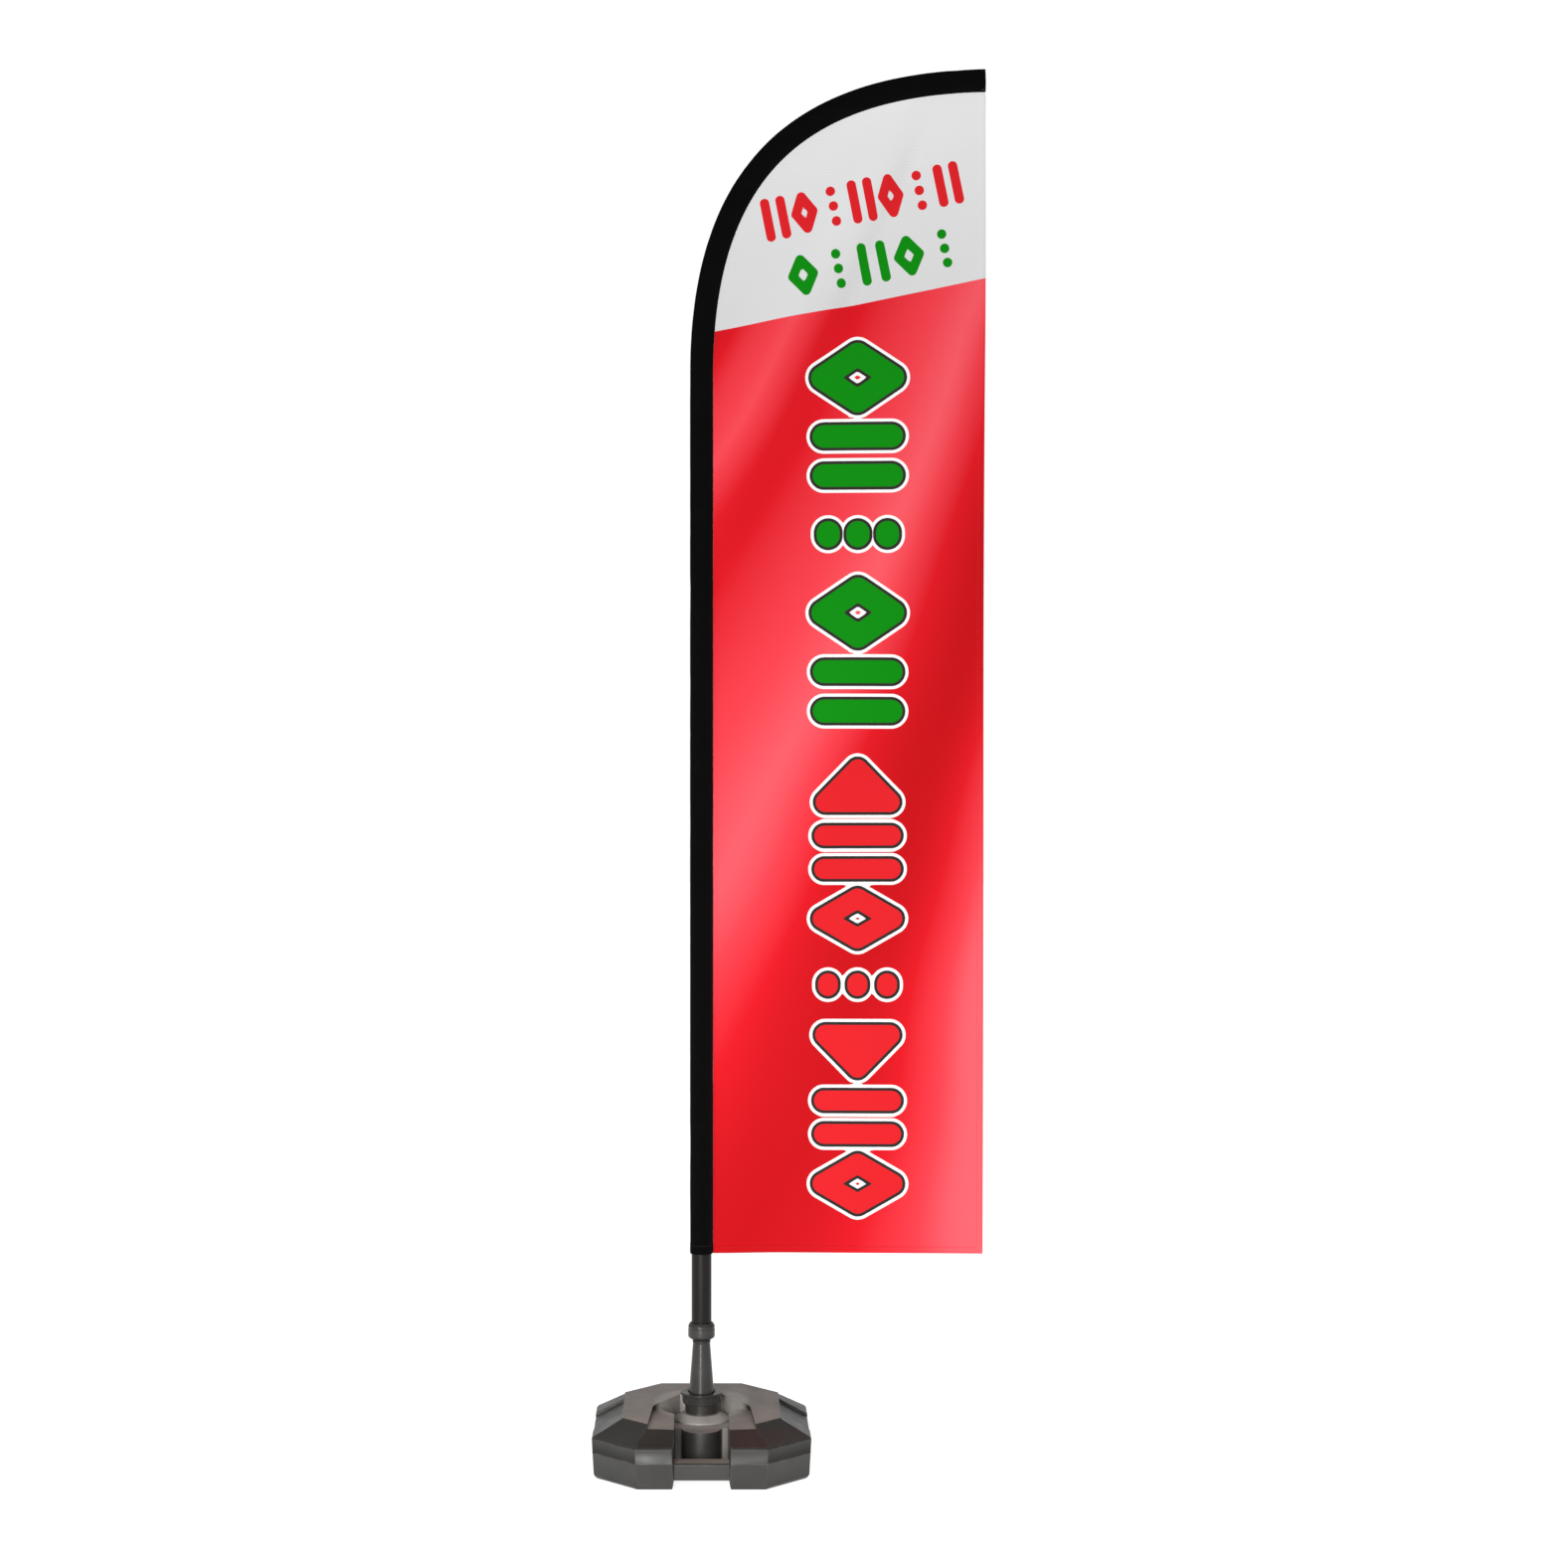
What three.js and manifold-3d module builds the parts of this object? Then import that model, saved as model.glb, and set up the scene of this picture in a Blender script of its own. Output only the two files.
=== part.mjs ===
// A 2.8 m feather flag that stands on a water-filled base: a printed flag with a pole sleeve, a three-section
// pole with a bending whip, a swivel spindle in a tapered post, and an octagonal tank with a carrying handle.
// Millimetres, +Z up. The origin is on the floor at the pole's axis; the flag flies towards +X.
import * as THREE from "three";
import { mergeVertices } from "three/addons/utils/BufferGeometryUtils.js";
import Module from "manifold-3d";

const wasm = await Module();
wasm.setup();

// ---------------------------------------------------------------- driving dimensions

const GAP = 0.3; // between pieces that seat on or in each other
const RUNNING = 0.35; // radial, round the spindle
const WIPE = 0.6; // radial, round the turning pole's foot

// Pole sections, each plugged into a reducer in the one below
const LOWER = { radius: 20, wall: 2, topZ: 1060 };
const MIDDLE = { radius: 15, wall: 1.5, topZ: 1700 };
const OVERLAP = 156; // how deep a section sits in the reducer below it
const REDUCER = { flange: 4.7, floor: 4, floorHole: 0.45, skin: 0.6 };
const RIVET = { shank: 2.2, head: 4, headHeight: 1.2, below: 30, bite: 3.4 };
const WHIP = { rootRadius: 6, tipRadius: 3.4, straight: 60, leanEndT: 0.25, lean: 12 };
const TIP_CAP = { wall: 1.2, ease: 1, length: 22, cover: 14 };

// Spindle up the middle of the post, with its nut and washer in a pocket under the post
const SPINDLE = { radius: 7, lowZ: 16, highZ: 520, chamfer: 3, shoulder: { width: 3.5, height: 2.7 } };
const NUT = { wall: 3.65, height: 10.6 };
const WASHER = { width: 6.05, thickness: 2.3 };
const NUT_POCKET = { play: 0.6, depth: 19.5 };

// Post: plug in the socket, foot flange on the neck, cone up to the collar cup
const POST = { footLip: 3.4, footHeight: 4.2, coneLow: 25.5, coneHigh: 17, topZ: 245, spigotRadius: 13 };
const COLLAR = { wall: 6.4, lip: 2.9, foot: 2, floor: 6.7, height: 36, lowChamfer: 6, topChamfer: 7 };
const THRUST = { play: 0.4, thickness: 2.6 };
const BUSH = { flange: 3, height: 72, chamfer: 2 };
const GUIDE = { below: 15, height: 25 };
// The ring passes over the collar cup and clamps the post's foot flange; its washer stays in it
const LOCK_RING = { pass: 0.6, rim: 5.5, web: 3.6, disc: 4.5, skirt: 4.1, skirtDepth: 19, play: 1 };
const SLIP_WASHER = { play: 0.9, thickness: 1.5 };

const collarInner = LOWER.radius + WIPE;
const collarRadius = collarInner + COLLAR.wall;
const ringHole = collarRadius + LOCK_RING.pass;
const footRadius = ringHole + POST.footLip;

// Tank: a square with cut corners, walls drawn in towards the floor, sloping deck with a raised back
const TANK = { half: 215.5, corner: 87, wall: 3.2, footInset: 10, footZ: 7, footDraft: 4 };
const PARTING = { z: 51.5, proud: 0.8, half: 0.8 };
const RIM = { z: 79, lipInset: 3, lipHeight: 4 };
const DECK = { half: 157, corner: 52, z: 115, lip: 2.5 };
const CROWN = { half: 94, corner: 14, shiftY: 50, z: 125 };
// Neck that the post's foot stands on, with the hub's cone round it in a funnel that stays inside the sunk front
const NECK = { lip: 1.4, topZ: 132 };
const HUB = { shoulder: 3.6, slope: 21.5, topZ: 101 };
const WELL = { groove: 5.5, flare: 22, z: 90, topZ: 114, grooveZ: 82, channelZ: 88 };
const SOCKET = { radius: 22.4, floorZ: 12, wall: 4 };
// Sunk front of the deck, wider towards the handle and falling towards it
const APRON = { backY: 46, backHalf: 42.5, sideY: -48, sideHalf: 97, backZ: 116, endZ: 108 };
// Shallow bays in the middle of the other three slopes
const BAY = { half: 64, depth: 6 };
// Handle: a slot right through the tank, with a bar across it and a rounded wall behind the fingers
const SLOT = { half: 53.5, mouth: 4, mouthDepth: 6, flare: 3.5, backY: -80, bulgeRadius: 40 };
const BAR = { setBack: 10.5, depth: 39, lowZ: 17, highZ: 50.5, round: 3 };
// Filler mouth behind the post, in a round recess of the deck
const FILLER = { y: 112, boreRadius: 14, neckWall: 3, recessPlay: 2.5, recessZ: 111, topZ: 123 };
const CAP = { wall: 3.4, roof: 2.6, gasket: 1.5 };

const neckRadius = footRadius + NECK.lip;
const hubTopRadius = neckRadius + HUB.shoulder;
const hubFootRadius = hubTopRadius + HUB.slope;
const fillerNeckRadius = FILLER.boreRadius + FILLER.neckWall;
const capRadius = fillerNeckRadius + 2 * GAP + CAP.wall;

// Flag: outline of the sleeve's middle line, then the cloth
const FLAG = { footZ: 420, bendZ: 2185, riseHandle: 405, tipX: 571, tipZ: 2777.5, tipHandle: 382, tipSlope: 0.018 };
const SLEEVE = { ease: 3.4, cloth: 1, bendThick: 9, tipThick: 8.4, blend: 45 };
const PANEL = { thickness: 1, flyTaper: 7 };
const ELASTIC = { above: 6, width: 24, clearance: 0.35, thickness: 1.2 };
const TIP_POCKET = { length: 10, ease: 1.1 };

const sleeveHalf = LOWER.radius + SLEEVE.ease;

const ROUND = 40; // sides of a turned piece
const SMALL_ROUND = 24;

// ---------------------------------------------------------------- solids

/** A closed geometry as a solid: vertices merged by place, collapsed triangles dropped. */
function solidOf(geometry) {
  const flat = geometry.index ? geometry.toNonIndexed() : geometry.clone();
  flat.deleteAttribute("normal");
  flat.deleteAttribute("uv");
  const merged = mergeVertices(flat, 1e-4);
  const kept = [];
  const index = merged.index.array;
  for (let i = 0; i < index.length; i += 3) {
    const [a, b, c] = [index[i], index[i + 1], index[i + 2]];
    if (a !== b && b !== c && a !== c) kept.push(a, b, c);
  }
  return new wasm.Manifold(
    new wasm.Mesh({
      numProp: 3,
      vertProperties: merged.attributes.position.array,
      triVerts: new Uint32Array(kept),
    }),
  );
}

function geometryOf(solid) {
  const mesh = solid.getMesh();
  const geometry = new THREE.BufferGeometry()
    .setAttribute("position", new THREE.BufferAttribute(mesh.vertProperties, 3))
    .setIndex(new THREE.BufferAttribute(mesh.triVerts, 1));
  geometry.computeVertexNormals();
  return geometry;
}

function joined(...solids) {
  return solids.reduce((whole, piece) => whole.add(piece));
}

/** Turned about Z from an outline of [radius, z] points, in either order. A ring's outline closes on itself. */
function turned(outline, sides = ROUND) {
  const first = outline[0];
  const last = outline[outline.length - 1];
  const closed = first[0] === 0 && last[0] === 0 ? outline : [...outline, first];
  let area = 0;
  closed.forEach(([r, z], i) => {
    const [nextR, nextZ] = closed[(i + 1) % closed.length];
    area += r * nextZ - nextR * z;
  });
  const ordered = area > 0 ? closed : [...closed].reverse();
  const points = ordered.map(([r, z]) => new THREE.Vector2(r, z));
  return solidOf(new THREE.LatheGeometry(points, sides).rotateX(Math.PI / 2));
}

function ring(inner, outer, lowZ, highZ, sides = ROUND) {
  return turned([[inner, lowZ], [outer, lowZ], [outer, highZ], [inner, highZ]], sides);
}

function disc(radius, lowZ, highZ, sides = ROUND) {
  return turned([[0, lowZ], [radius, lowZ], [radius, highZ], [0, highZ]], sides);
}

/** A prism between two heights over an outline of [x, y] points. */
function prism(outline, lowZ, highZ) {
  const shape = new THREE.Shape(outline.map(([x, y]) => new THREE.Vector2(x, y)));
  const geometry = new THREE.ExtrudeGeometry(shape, { depth: highZ - lowZ, bevelEnabled: false });
  return solidOf(geometry.translate(0, 0, lowZ));
}

function block(lowX, highX, lowY, highY, lowZ, highZ) {
  return prism([[lowX, lowY], [highX, lowY], [highX, highY], [lowX, highY]], lowZ, highZ);
}

/** Skin over a list of rings that have the same number of points, with a flat fan on each end. */
function skinned(rings) {
  const count = rings[0].length;
  const positions = [];
  const triangle = (a, b, c) => positions.push(...a, ...b, ...c);
  rings.slice(1).forEach((upper, i) => {
    const lower = rings[i];
    for (let k = 0; k < count; k++) {
      const next = (k + 1) % count;
      triangle(lower[k], lower[next], upper[next]);
      triangle(lower[k], upper[next], upper[k]);
    }
  });
  const bottom = rings[0];
  const top = rings[rings.length - 1];
  for (let k = 1; k < count - 1; k++) {
    triangle(bottom[0], bottom[k + 1], bottom[k]);
    triangle(top[0], top[k], top[k + 1]);
  }
  const geometry = new THREE.BufferGeometry();
  return solidOf(geometry.setAttribute("position", new THREE.Float32BufferAttribute(positions, 3)));
}

/** A square of this half width with cut corners, at one height, anticlockwise from above. */
function octagon(half, corner, z) {
  const face = half - corner;
  return [[half, -face], [half, face], [face, half], [-face, half],
    [-half, face], [-half, -face], [-face, -half], [face, -half]].map(([x, y]) => [x, y, z]);
}

/** The same octagon with every side moved in by one distance. */
function insetOctagon(half, corner, inset, z) {
  return octagon(half - inset, corner - inset * (2 - Math.SQRT2), z);
}

function mesh(name, solid, material) {
  const made = new THREE.Mesh(geometryOf(solid), material);
  made.name = name;
  return made;
}

// ---------------------------------------------------------------- materials

function finish(colour, roughness, metalness = 0) {
  return new THREE.MeshStandardMaterial({ color: colour, roughness, metalness });
}

const blackPolyethylene = finish(0x3a3836, 0.5);
const blackPlastic = finish(0x2b2a29, 0.35);
const nylon = finish(0xe6e2d6, 0.5);
const steel = finish(0xb4b7ba, 0.3, 1);
const rubber = finish(0x1c1c1c, 0.85);
const blackTube = finish(0x2a2a29, 0.4);
const fibreglass = finish(0x24262a, 0.35);
const blackCloth = finish(0x050505, 0.9);
const printedCloth = finish(0xd8101c, 0.7);

// ---------------------------------------------------------------- tank

/** What the handle takes out of the tank, or out of its cavity when grown by the wall. */
function handleSlot(grown) {
  const { mouthDepth, flare, backY, bulgeRadius } = SLOT;
  const half = SLOT.half + grown;
  const mouth = half + SLOT.mouth;
  const outY = -TANK.half - mouthDepth;
  const mouthY = -TANK.half;
  const endY = backY + grown;
  const high = CROWN.z + 1;
  const shaft = prism([[-mouth, outY], [mouth, outY], [mouth, mouthY], [half, mouthY + mouthDepth], [half, endY],
    [-half, endY], [-half, mouthY + mouthDepth], [-mouth, mouthY]], -1, high);
  const footRing = (wide, z) => [[-wide, outY, z], [wide, outY, z], [wide, endY, z], [-wide, endY, z]];
  const foot = skinned([footRing(half + flare, -1), footRing(half, BAR.lowZ)]);
  const bulge = disc(bulgeRadius - grown, -2, high + 1).translate(0, backY, 0);
  return shaft.add(foot).subtract(bulge);
}

/** The sunk front of the deck, from its sloping floor up, run out past the front slope. */
function apronHollow(grown) {
  const { backY, backHalf, sideY, sideHalf, backZ, endZ } = APRON;
  const endY = -DECK.half;
  const endHalf = DECK.half - DECK.corner;
  const fall = (backZ - endZ) / (backY - endY);
  const stations = [[backHalf, backY], [sideHalf, sideY], [endHalf, endY], [endHalf, -TANK.half]];
  const high = CROWN.z + 1;
  return skinned(stations.map(([x, y], i) => {
    const wide = x + grown;
    const reach = i === 0 ? y + grown : y;
    const low = backZ - (backY - y) * fall - grown;
    return [[-wide, reach, low], [wide, reach, low], [wide, reach, high], [-wide, reach, high]];
  }));
}

/** The sunk front's plan from the well's groove up, which keeps the well off the deck behind it. */
function apronPlan(grown) {
  const { backY, backHalf, sideY, sideHalf } = APRON;
  const [back, side, rear] = [backHalf + grown, sideHalf + grown, backY + grown];
  const outline = [[-side, SLOT.backY], [side, SLOT.backY], [side, sideY], [back, rear], [-back, rear], [-side, sideY]];
  return prism(outline, WELL.grooveZ - 2 * TANK.wall, CROWN.z + 2);
}

/** The funnel round the hub with its groove, and the channel to the handle, from their floors up. */
function wellHollow(grown) {
  const { flare, z, topZ, grooveZ, channelZ } = WELL;
  const high = CROWN.z + 1;
  const floor = hubFootRadius + WELL.groove + grown;
  const outer = floor + flare;
  const funnel = turned([[0, grooveZ - grown], [floor, grooveZ - grown], [floor, z - grown], [outer, topZ - grown],
    [outer, high], [0, high]], 48);
  const well = funnel.intersect(apronPlan(grown));
  const half = SLOT.half + grown;
  const channel = block(-half, half, SLOT.backY - SLOT.bulgeRadius, 0, channelZ - grown, high);
  return well.add(channel);
}

/** A shallow bay in each slope but the front one: what stands above the same slope moved down. */
function bays(slopes, grown) {
  const half = BAY.half + grown;
  const past = TANK.half + 10;
  const inner = DECK.half - grown;
  const high = DECK.z + 1;
  const spans = block(-past, -inner, -half, half, RIM.z - BAY.depth - 10, high)
    .add(block(inner, past, -half, half, RIM.z - BAY.depth - 10, high))
    .add(block(-half, half, inner, past, RIM.z - BAY.depth - 10, high));
  return spans.subtract(slopes.translate(0, 0, -BAY.depth));
}

function crownRing(inset, z) {
  return octagon(CROWN.half - inset, CROWN.corner, z).map(([x, y, level]) => [x, y + CROWN.shiftY, level]);
}

/** Half width of the tank's side wall at a height between its foot and its rim. */
function wallInset(z) {
  return TANK.footDraft * (1 - (z - TANK.footZ) / (RIM.z - TANK.footZ));
}

function tankOutside() {
  const { half, corner } = TANK;
  const wallRing = (z, proud) => insetOctagon(half, corner, wallInset(z) - proud, z);
  return skinned([
    insetOctagon(half, corner, TANK.footInset, 0),
    wallRing(TANK.footZ, 0),
    wallRing(PARTING.z - PARTING.half, 0),
    wallRing(PARTING.z, PARTING.proud),
    wallRing(PARTING.z + PARTING.half, 0),
    octagon(half, corner, RIM.z),
    insetOctagon(half, corner, RIM.lipInset, RIM.z + RIM.lipHeight),
    octagon(DECK.half, DECK.corner, DECK.z - DECK.lip),
    octagon(DECK.half, DECK.corner, DECK.z),
    crownRing(0, CROWN.z),
  ]);
}

function tankInside() {
  const { half, corner, wall } = TANK;
  return skinned([
    insetOctagon(half, corner, TANK.footInset + wall, wall),
    insetOctagon(half, corner, TANK.footDraft + wall, TANK.footZ + wall),
    insetOctagon(half, corner, wall, RIM.z - wall),
    insetOctagon(half, corner, RIM.lipInset + wall, RIM.z + RIM.lipHeight - wall),
    insetOctagon(DECK.half, DECK.corner, wall / 2, DECK.z - DECK.lip - wall),
    crownRing(wall, CROWN.z - wall),
  ]);
}

/** The bar across the slot, with eight sides, its ends run into the slot's walls. */
function handleBar() {
  const { lowZ, highZ, round } = BAR;
  const frontY = -TANK.half + BAR.setBack;
  const backY = frontY + BAR.depth;
  const end = SLOT.half + SLOT.mouth + TANK.wall / 2;
  const section = [[frontY, lowZ + round], [frontY, highZ - round], [frontY + round, highZ], [backY - round, highZ],
    [backY, highZ - round], [backY, lowZ + round], [backY - round, lowZ], [frontY + round, lowZ]];
  return skinned([-end, end].map((x) => section.map(([y, z]) => [x, y, z]).reverse()));
}

function tank() {
  const { wall } = TANK;
  const outside = tankOutside();
  const inside = tankInside();
  const recessRadius = capRadius + FILLER.recessPlay;
  const fillerRecess = (grown) => disc(recessRadius + grown, FILLER.recessZ - grown, CROWN.z + 1)
    .translate(0, FILLER.y, 0);
  const hub = turned([[0, WELL.grooveZ - wall], [hubFootRadius, WELL.grooveZ - wall], [hubFootRadius, WELL.z],
    [hubTopRadius, HUB.topZ], [neckRadius, HUB.topZ], [neckRadius, NECK.topZ], [0, NECK.topZ]], 48);
  const fillerNeck = disc(fillerNeckRadius, FILLER.recessZ - wall / 2, FILLER.topZ).translate(0, FILLER.y, 0);
  const socketTube = disc(SOCKET.radius + SOCKET.wall, 0, WELL.z);
  const sunk = (grown) => joined(handleSlot(grown), apronHollow(grown), wellHollow(grown), fillerRecess(grown));
  const cavity = inside.subtract(joined(sunk(wall), bays(inside, wall), socketTube));
  const fillerBore = disc(FILLER.boreRadius, RIM.z, FILLER.topZ + 1).translate(0, FILLER.y, 0);
  const socketBore = disc(SOCKET.radius, SOCKET.floorZ, NECK.topZ + 1);
  return outside
    .subtract(joined(sunk(0), bays(outside, 0)))
    .add(joined(hub, fillerNeck, handleBar()))
    .subtract(joined(cavity, fillerBore, socketBore));
}

/** Cap roof over the filler mouth, with a skirt round its neck. */
function fillerCap() {
  const gasketTop = FILLER.topZ + GAP / 2 + CAP.gasket;
  const roofZ = gasketTop + GAP;
  const skirt = fillerNeckRadius + 2 * GAP;
  const skirtZ = FILLER.recessZ + 2 * GAP;
  const cap = turned([[0, roofZ], [skirt, roofZ], [skirt, skirtZ], [capRadius, skirtZ],
    [capRadius, roofZ + CAP.roof - 1], [capRadius - 1, roofZ + CAP.roof], [0, roofZ + CAP.roof]]);
  return cap.translate(0, FILLER.y, 0);
}

function fillerGasket() {
  const lowZ = FILLER.topZ + GAP / 2;
  return ring(FILLER.boreRadius, fillerNeckRadius, lowZ, lowZ + CAP.gasket).translate(0, FILLER.y, 0);
}

// ---------------------------------------------------------------- post and its lock ring

const postFootZ = NECK.topZ + GAP;
const postFootTop = postFootZ + POST.footHeight;
const slipWasherTop = postFootTop + GAP + SLIP_WASHER.thickness;
const ringWebZ = slipWasherTop + GAP;
const ringTop = ringWebZ + LOCK_RING.web;
const boreRadius = SPINDLE.radius + RUNNING;
const washerRadius = boreRadius + WASHER.width;
const nutPocketRadius = washerRadius + NUT_POCKET.play;
const nutPocketTop = SOCKET.floorZ + GAP + NUT_POCKET.depth;

function post() {
  const low = SOCKET.floorZ + GAP;
  const plug = SOCKET.radius - GAP;
  const spigotTop = POST.topZ + COLLAR.floor - GAP;
  return turned([
    [nutPocketRadius, low], [plug, low], [plug, postFootZ], [footRadius, postFootZ],
    [footRadius, postFootTop], [POST.coneLow, postFootTop], [POST.coneHigh, POST.topZ],
    [POST.spigotRadius, POST.topZ], [POST.spigotRadius, spigotTop], [boreRadius, spigotTop],
    [boreRadius, nutPocketTop], [nutPocketRadius, nutPocketTop],
  ]);
}

function lockRing() {
  const { rim, disc: thick, skirt, skirtDepth, play } = LOCK_RING;
  const skirtInner = neckRadius + play;
  const skirtOuter = skirtInner + skirt;
  const outer = skirtOuter + rim;
  const skirtLow = ringWebZ - skirtDepth;
  return turned([[ringHole, ringWebZ], [skirtInner, ringWebZ], [skirtInner, skirtLow], [skirtOuter, skirtLow],
    [skirtOuter, ringTop - thick], [outer - 1, ringTop - thick], [outer, ringTop - thick + 1],
    [outer, ringTop - 1], [outer - 1, ringTop], [ringHole, ringTop]]);
}

function slipWasher() {
  return ring(POST.coneLow + SLIP_WASHER.play, footRadius, postFootTop + GAP, slipWasherTop);
}

// ---------------------------------------------------------------- spindle, collar and bearings

const cupFloorZ = POST.topZ + GAP + COLLAR.floor;
const shoulderZ = cupFloorZ + GAP;
const shoulderRadius = SPINDLE.radius + SPINDLE.shoulder.width;
const bushZ = shoulderZ + SPINDLE.shoulder.height + GAP;
const poleFootZ = bushZ + BUSH.flange + GAP;

function spindle() {
  const { radius, lowZ, highZ, chamfer, shoulder } = SPINDLE;
  return turned([[0, lowZ], [radius - 1, lowZ], [radius, lowZ + 1], [radius, shoulderZ], [shoulderRadius, shoulderZ],
    [shoulderRadius, shoulderZ + shoulder.height], [radius, shoulderZ + shoulder.height], [radius, highZ - chamfer],
    [radius - chamfer, highZ], [0, highZ]], SMALL_ROUND);
}

function spindleWasher() {
  return ring(boreRadius, washerRadius, nutPocketTop - GAP - WASHER.thickness, nutPocketTop - GAP, SMALL_ROUND);
}

function spindleNut() {
  const top = nutPocketTop - 2 * GAP - WASHER.thickness;
  const cornerRadius = (boreRadius + NUT.wall) / Math.cos(Math.PI / 6);
  const hexagon = disc(cornerRadius, top - NUT.height, top, 6);
  return hexagon.subtract(disc(boreRadius, top - NUT.height - 1, top + 1, SMALL_ROUND));
}

function collarCup() {
  const { lip, foot, height, lowChamfer, topChamfer } = COLLAR;
  const low = POST.topZ + GAP;
  const top = POST.topZ + height;
  const hole = POST.spigotRadius + GAP;
  return turned([[hole, low], [POST.coneHigh + foot, low], [collarRadius, low + lowChamfer],
    [collarRadius, top - topChamfer], [collarInner + lip, top], [collarInner, top], [collarInner, cupFloorZ],
    [hole, cupFloorZ]]);
}

function thrustWasher() {
  const low = cupFloorZ + GAP;
  return ring(shoulderRadius + THRUST.play, LOWER.radius, low, low + THRUST.thickness);
}

/** Flange under the pole's foot and a long body up inside the tube. */
function swivelBush() {
  const body = LOWER.radius - LOWER.wall - GAP;
  const flangeTop = bushZ + BUSH.flange;
  const top = bushZ + BUSH.height;
  return turned([[boreRadius, bushZ], [LOWER.radius, bushZ], [LOWER.radius, flangeTop], [body, flangeTop],
    [body, top - BUSH.chamfer], [body - BUSH.chamfer, top], [boreRadius, top]]);
}

function guideBush() {
  const top = SPINDLE.highZ - GUIDE.below;
  return ring(boreRadius, LOWER.radius - LOWER.wall - GAP, top - GUIDE.height, top);
}

// ---------------------------------------------------------------- pole sections

const middleFootZ = LOWER.topZ - OVERLAP + GAP;
const whipFootZ = MIDDLE.topZ - OVERLAP + GAP;

/** Rivet holes on both sides (+Y and -Y) of a section's top, down to a radius. */
function rivetHoles(section, downTo) {
  const drill = turned([[0, downTo], [RIVET.shank + GAP, downTo], [RIVET.shank + GAP, section.radius + 5],
    [0, section.radius + 5]], SMALL_ROUND / 2);
  const z = section.topZ - RIVET.below;
  return joined(drill.rotate([-90, 0, 0]), drill.rotate([90, 0, 0])).translate(0, 0, z);
}

function tube(section, lowZ) {
  const whole = ring(section.radius - section.wall, section.radius, lowZ, section.topZ);
  return whole.subtract(rivetHoles(section, section.radius - section.wall - 1));
}

/** Plastic socket in a section's top, bored for the next section, with a drained floor and a flange on the tube. */
function reducer(section, nextRadius) {
  const body = section.radius - section.wall - GAP;
  const bore = nextRadius + RUNNING;
  const low = section.topZ - OVERLAP - REDUCER.floor;
  const flangeZ = section.topZ + GAP;
  const whole = turned([
    [nextRadius * REDUCER.floorHole, low], [body, low], [body, flangeZ], [section.radius, flangeZ],
    [section.radius, flangeZ + REDUCER.flange], [bore, flangeZ + REDUCER.flange],
    [bore, low + REDUCER.floor], [nextRadius * REDUCER.floorHole, low + REDUCER.floor]]);
  const blindAt = Math.max(bore + REDUCER.skin, section.radius - RIVET.bite - GAP);
  return whole.subtract(rivetHoles(section, blindAt));
}

/** Shank through the tube's wall into the reducer, low dome outside. side is 1 for +Y, -1 for -Y. */
function rivet(section, nextRadius, side) {
  const inner = Math.max(nextRadius + RUNNING + REDUCER.skin + GAP, section.radius - RIVET.bite);
  const seat = section.radius + GAP;
  const { shank, head, headHeight } = RIVET;
  const upright = turned([[0, inner], [shank, inner], [shank, seat], [head, seat],
    [head * 0.7, seat + headHeight * 0.8], [0, seat + headHeight]], SMALL_ROUND / 2);
  return upright.rotate([side > 0 ? -90 : 90, 0, 0]).translate(0, 0, section.topZ - RIVET.below);
}

// ---------------------------------------------------------------- line of the sleeve and the whip

const bend = new THREE.CubicBezierCurve(
  new THREE.Vector2(0, FLAG.bendZ),
  new THREE.Vector2(0, FLAG.bendZ + FLAG.riseHandle),
  new THREE.Vector2(FLAG.tipX - FLAG.tipHandle, FLAG.tipZ - FLAG.tipHandle * FLAG.tipSlope),
  new THREE.Vector2(FLAG.tipX, FLAG.tipZ),
);

/** A point of the bend moved out from it by one distance, and the way it points. out is left of the line. */
function onBend(t, out = 0) {
  const at = bend.getPoint(t);
  const along = bend.getTangent(t);
  return { x: at.x - along.y * out, z: at.y + along.x * out, outX: -along.y, outZ: along.x };
}

/** An oval ring across the line, half wide in the flag's plane and half thick in Y. */
function oval(at, halfWide, halfThick, sides) {
  return Array.from({ length: sides }, (_, k) => {
    const turn = (2 * Math.PI * k) / sides;
    const out = -halfWide * Math.cos(turn);
    return [at.x + at.outX * out, halfThick * Math.sin(turn), at.z + at.outZ * out];
  });
}

function onPole(z, out = 0) {
  return { x: -out, z, outX: -1, outZ: 0 };
}

const BEND_STEPS = 18;
const bendShares = Array.from({ length: BEND_STEPS }, (_, i) => (i + 1) / BEND_STEPS);

/** Where the sleeve's rings stand and how thick the sleeve is there, round each pole section in turn. */
function sleeveStations() {
  const { bendThick, tipThick, ease, blend } = SLEEVE;
  const middleThick = MIDDLE.radius + ease;
  const lowerEnd = LOWER.topZ + REDUCER.flange + blend;
  const middleEnd = MIDDLE.topZ + REDUCER.flange + blend;
  const straight = [[FLAG.footZ, sleeveHalf], [lowerEnd, sleeveHalf], [lowerEnd + 2 * blend, middleThick],
    [middleEnd, middleThick], [middleEnd + 3 * blend, bendThick], [FLAG.bendZ, bendThick]];
  return [
    ...straight.map(([z, thick]) => ({ at: onPole(z), thick })),
    ...bendShares.map((t) => ({ at: onBend(t), thick: bendThick + (tipThick - bendThick) * t })),
  ];
}

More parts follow.
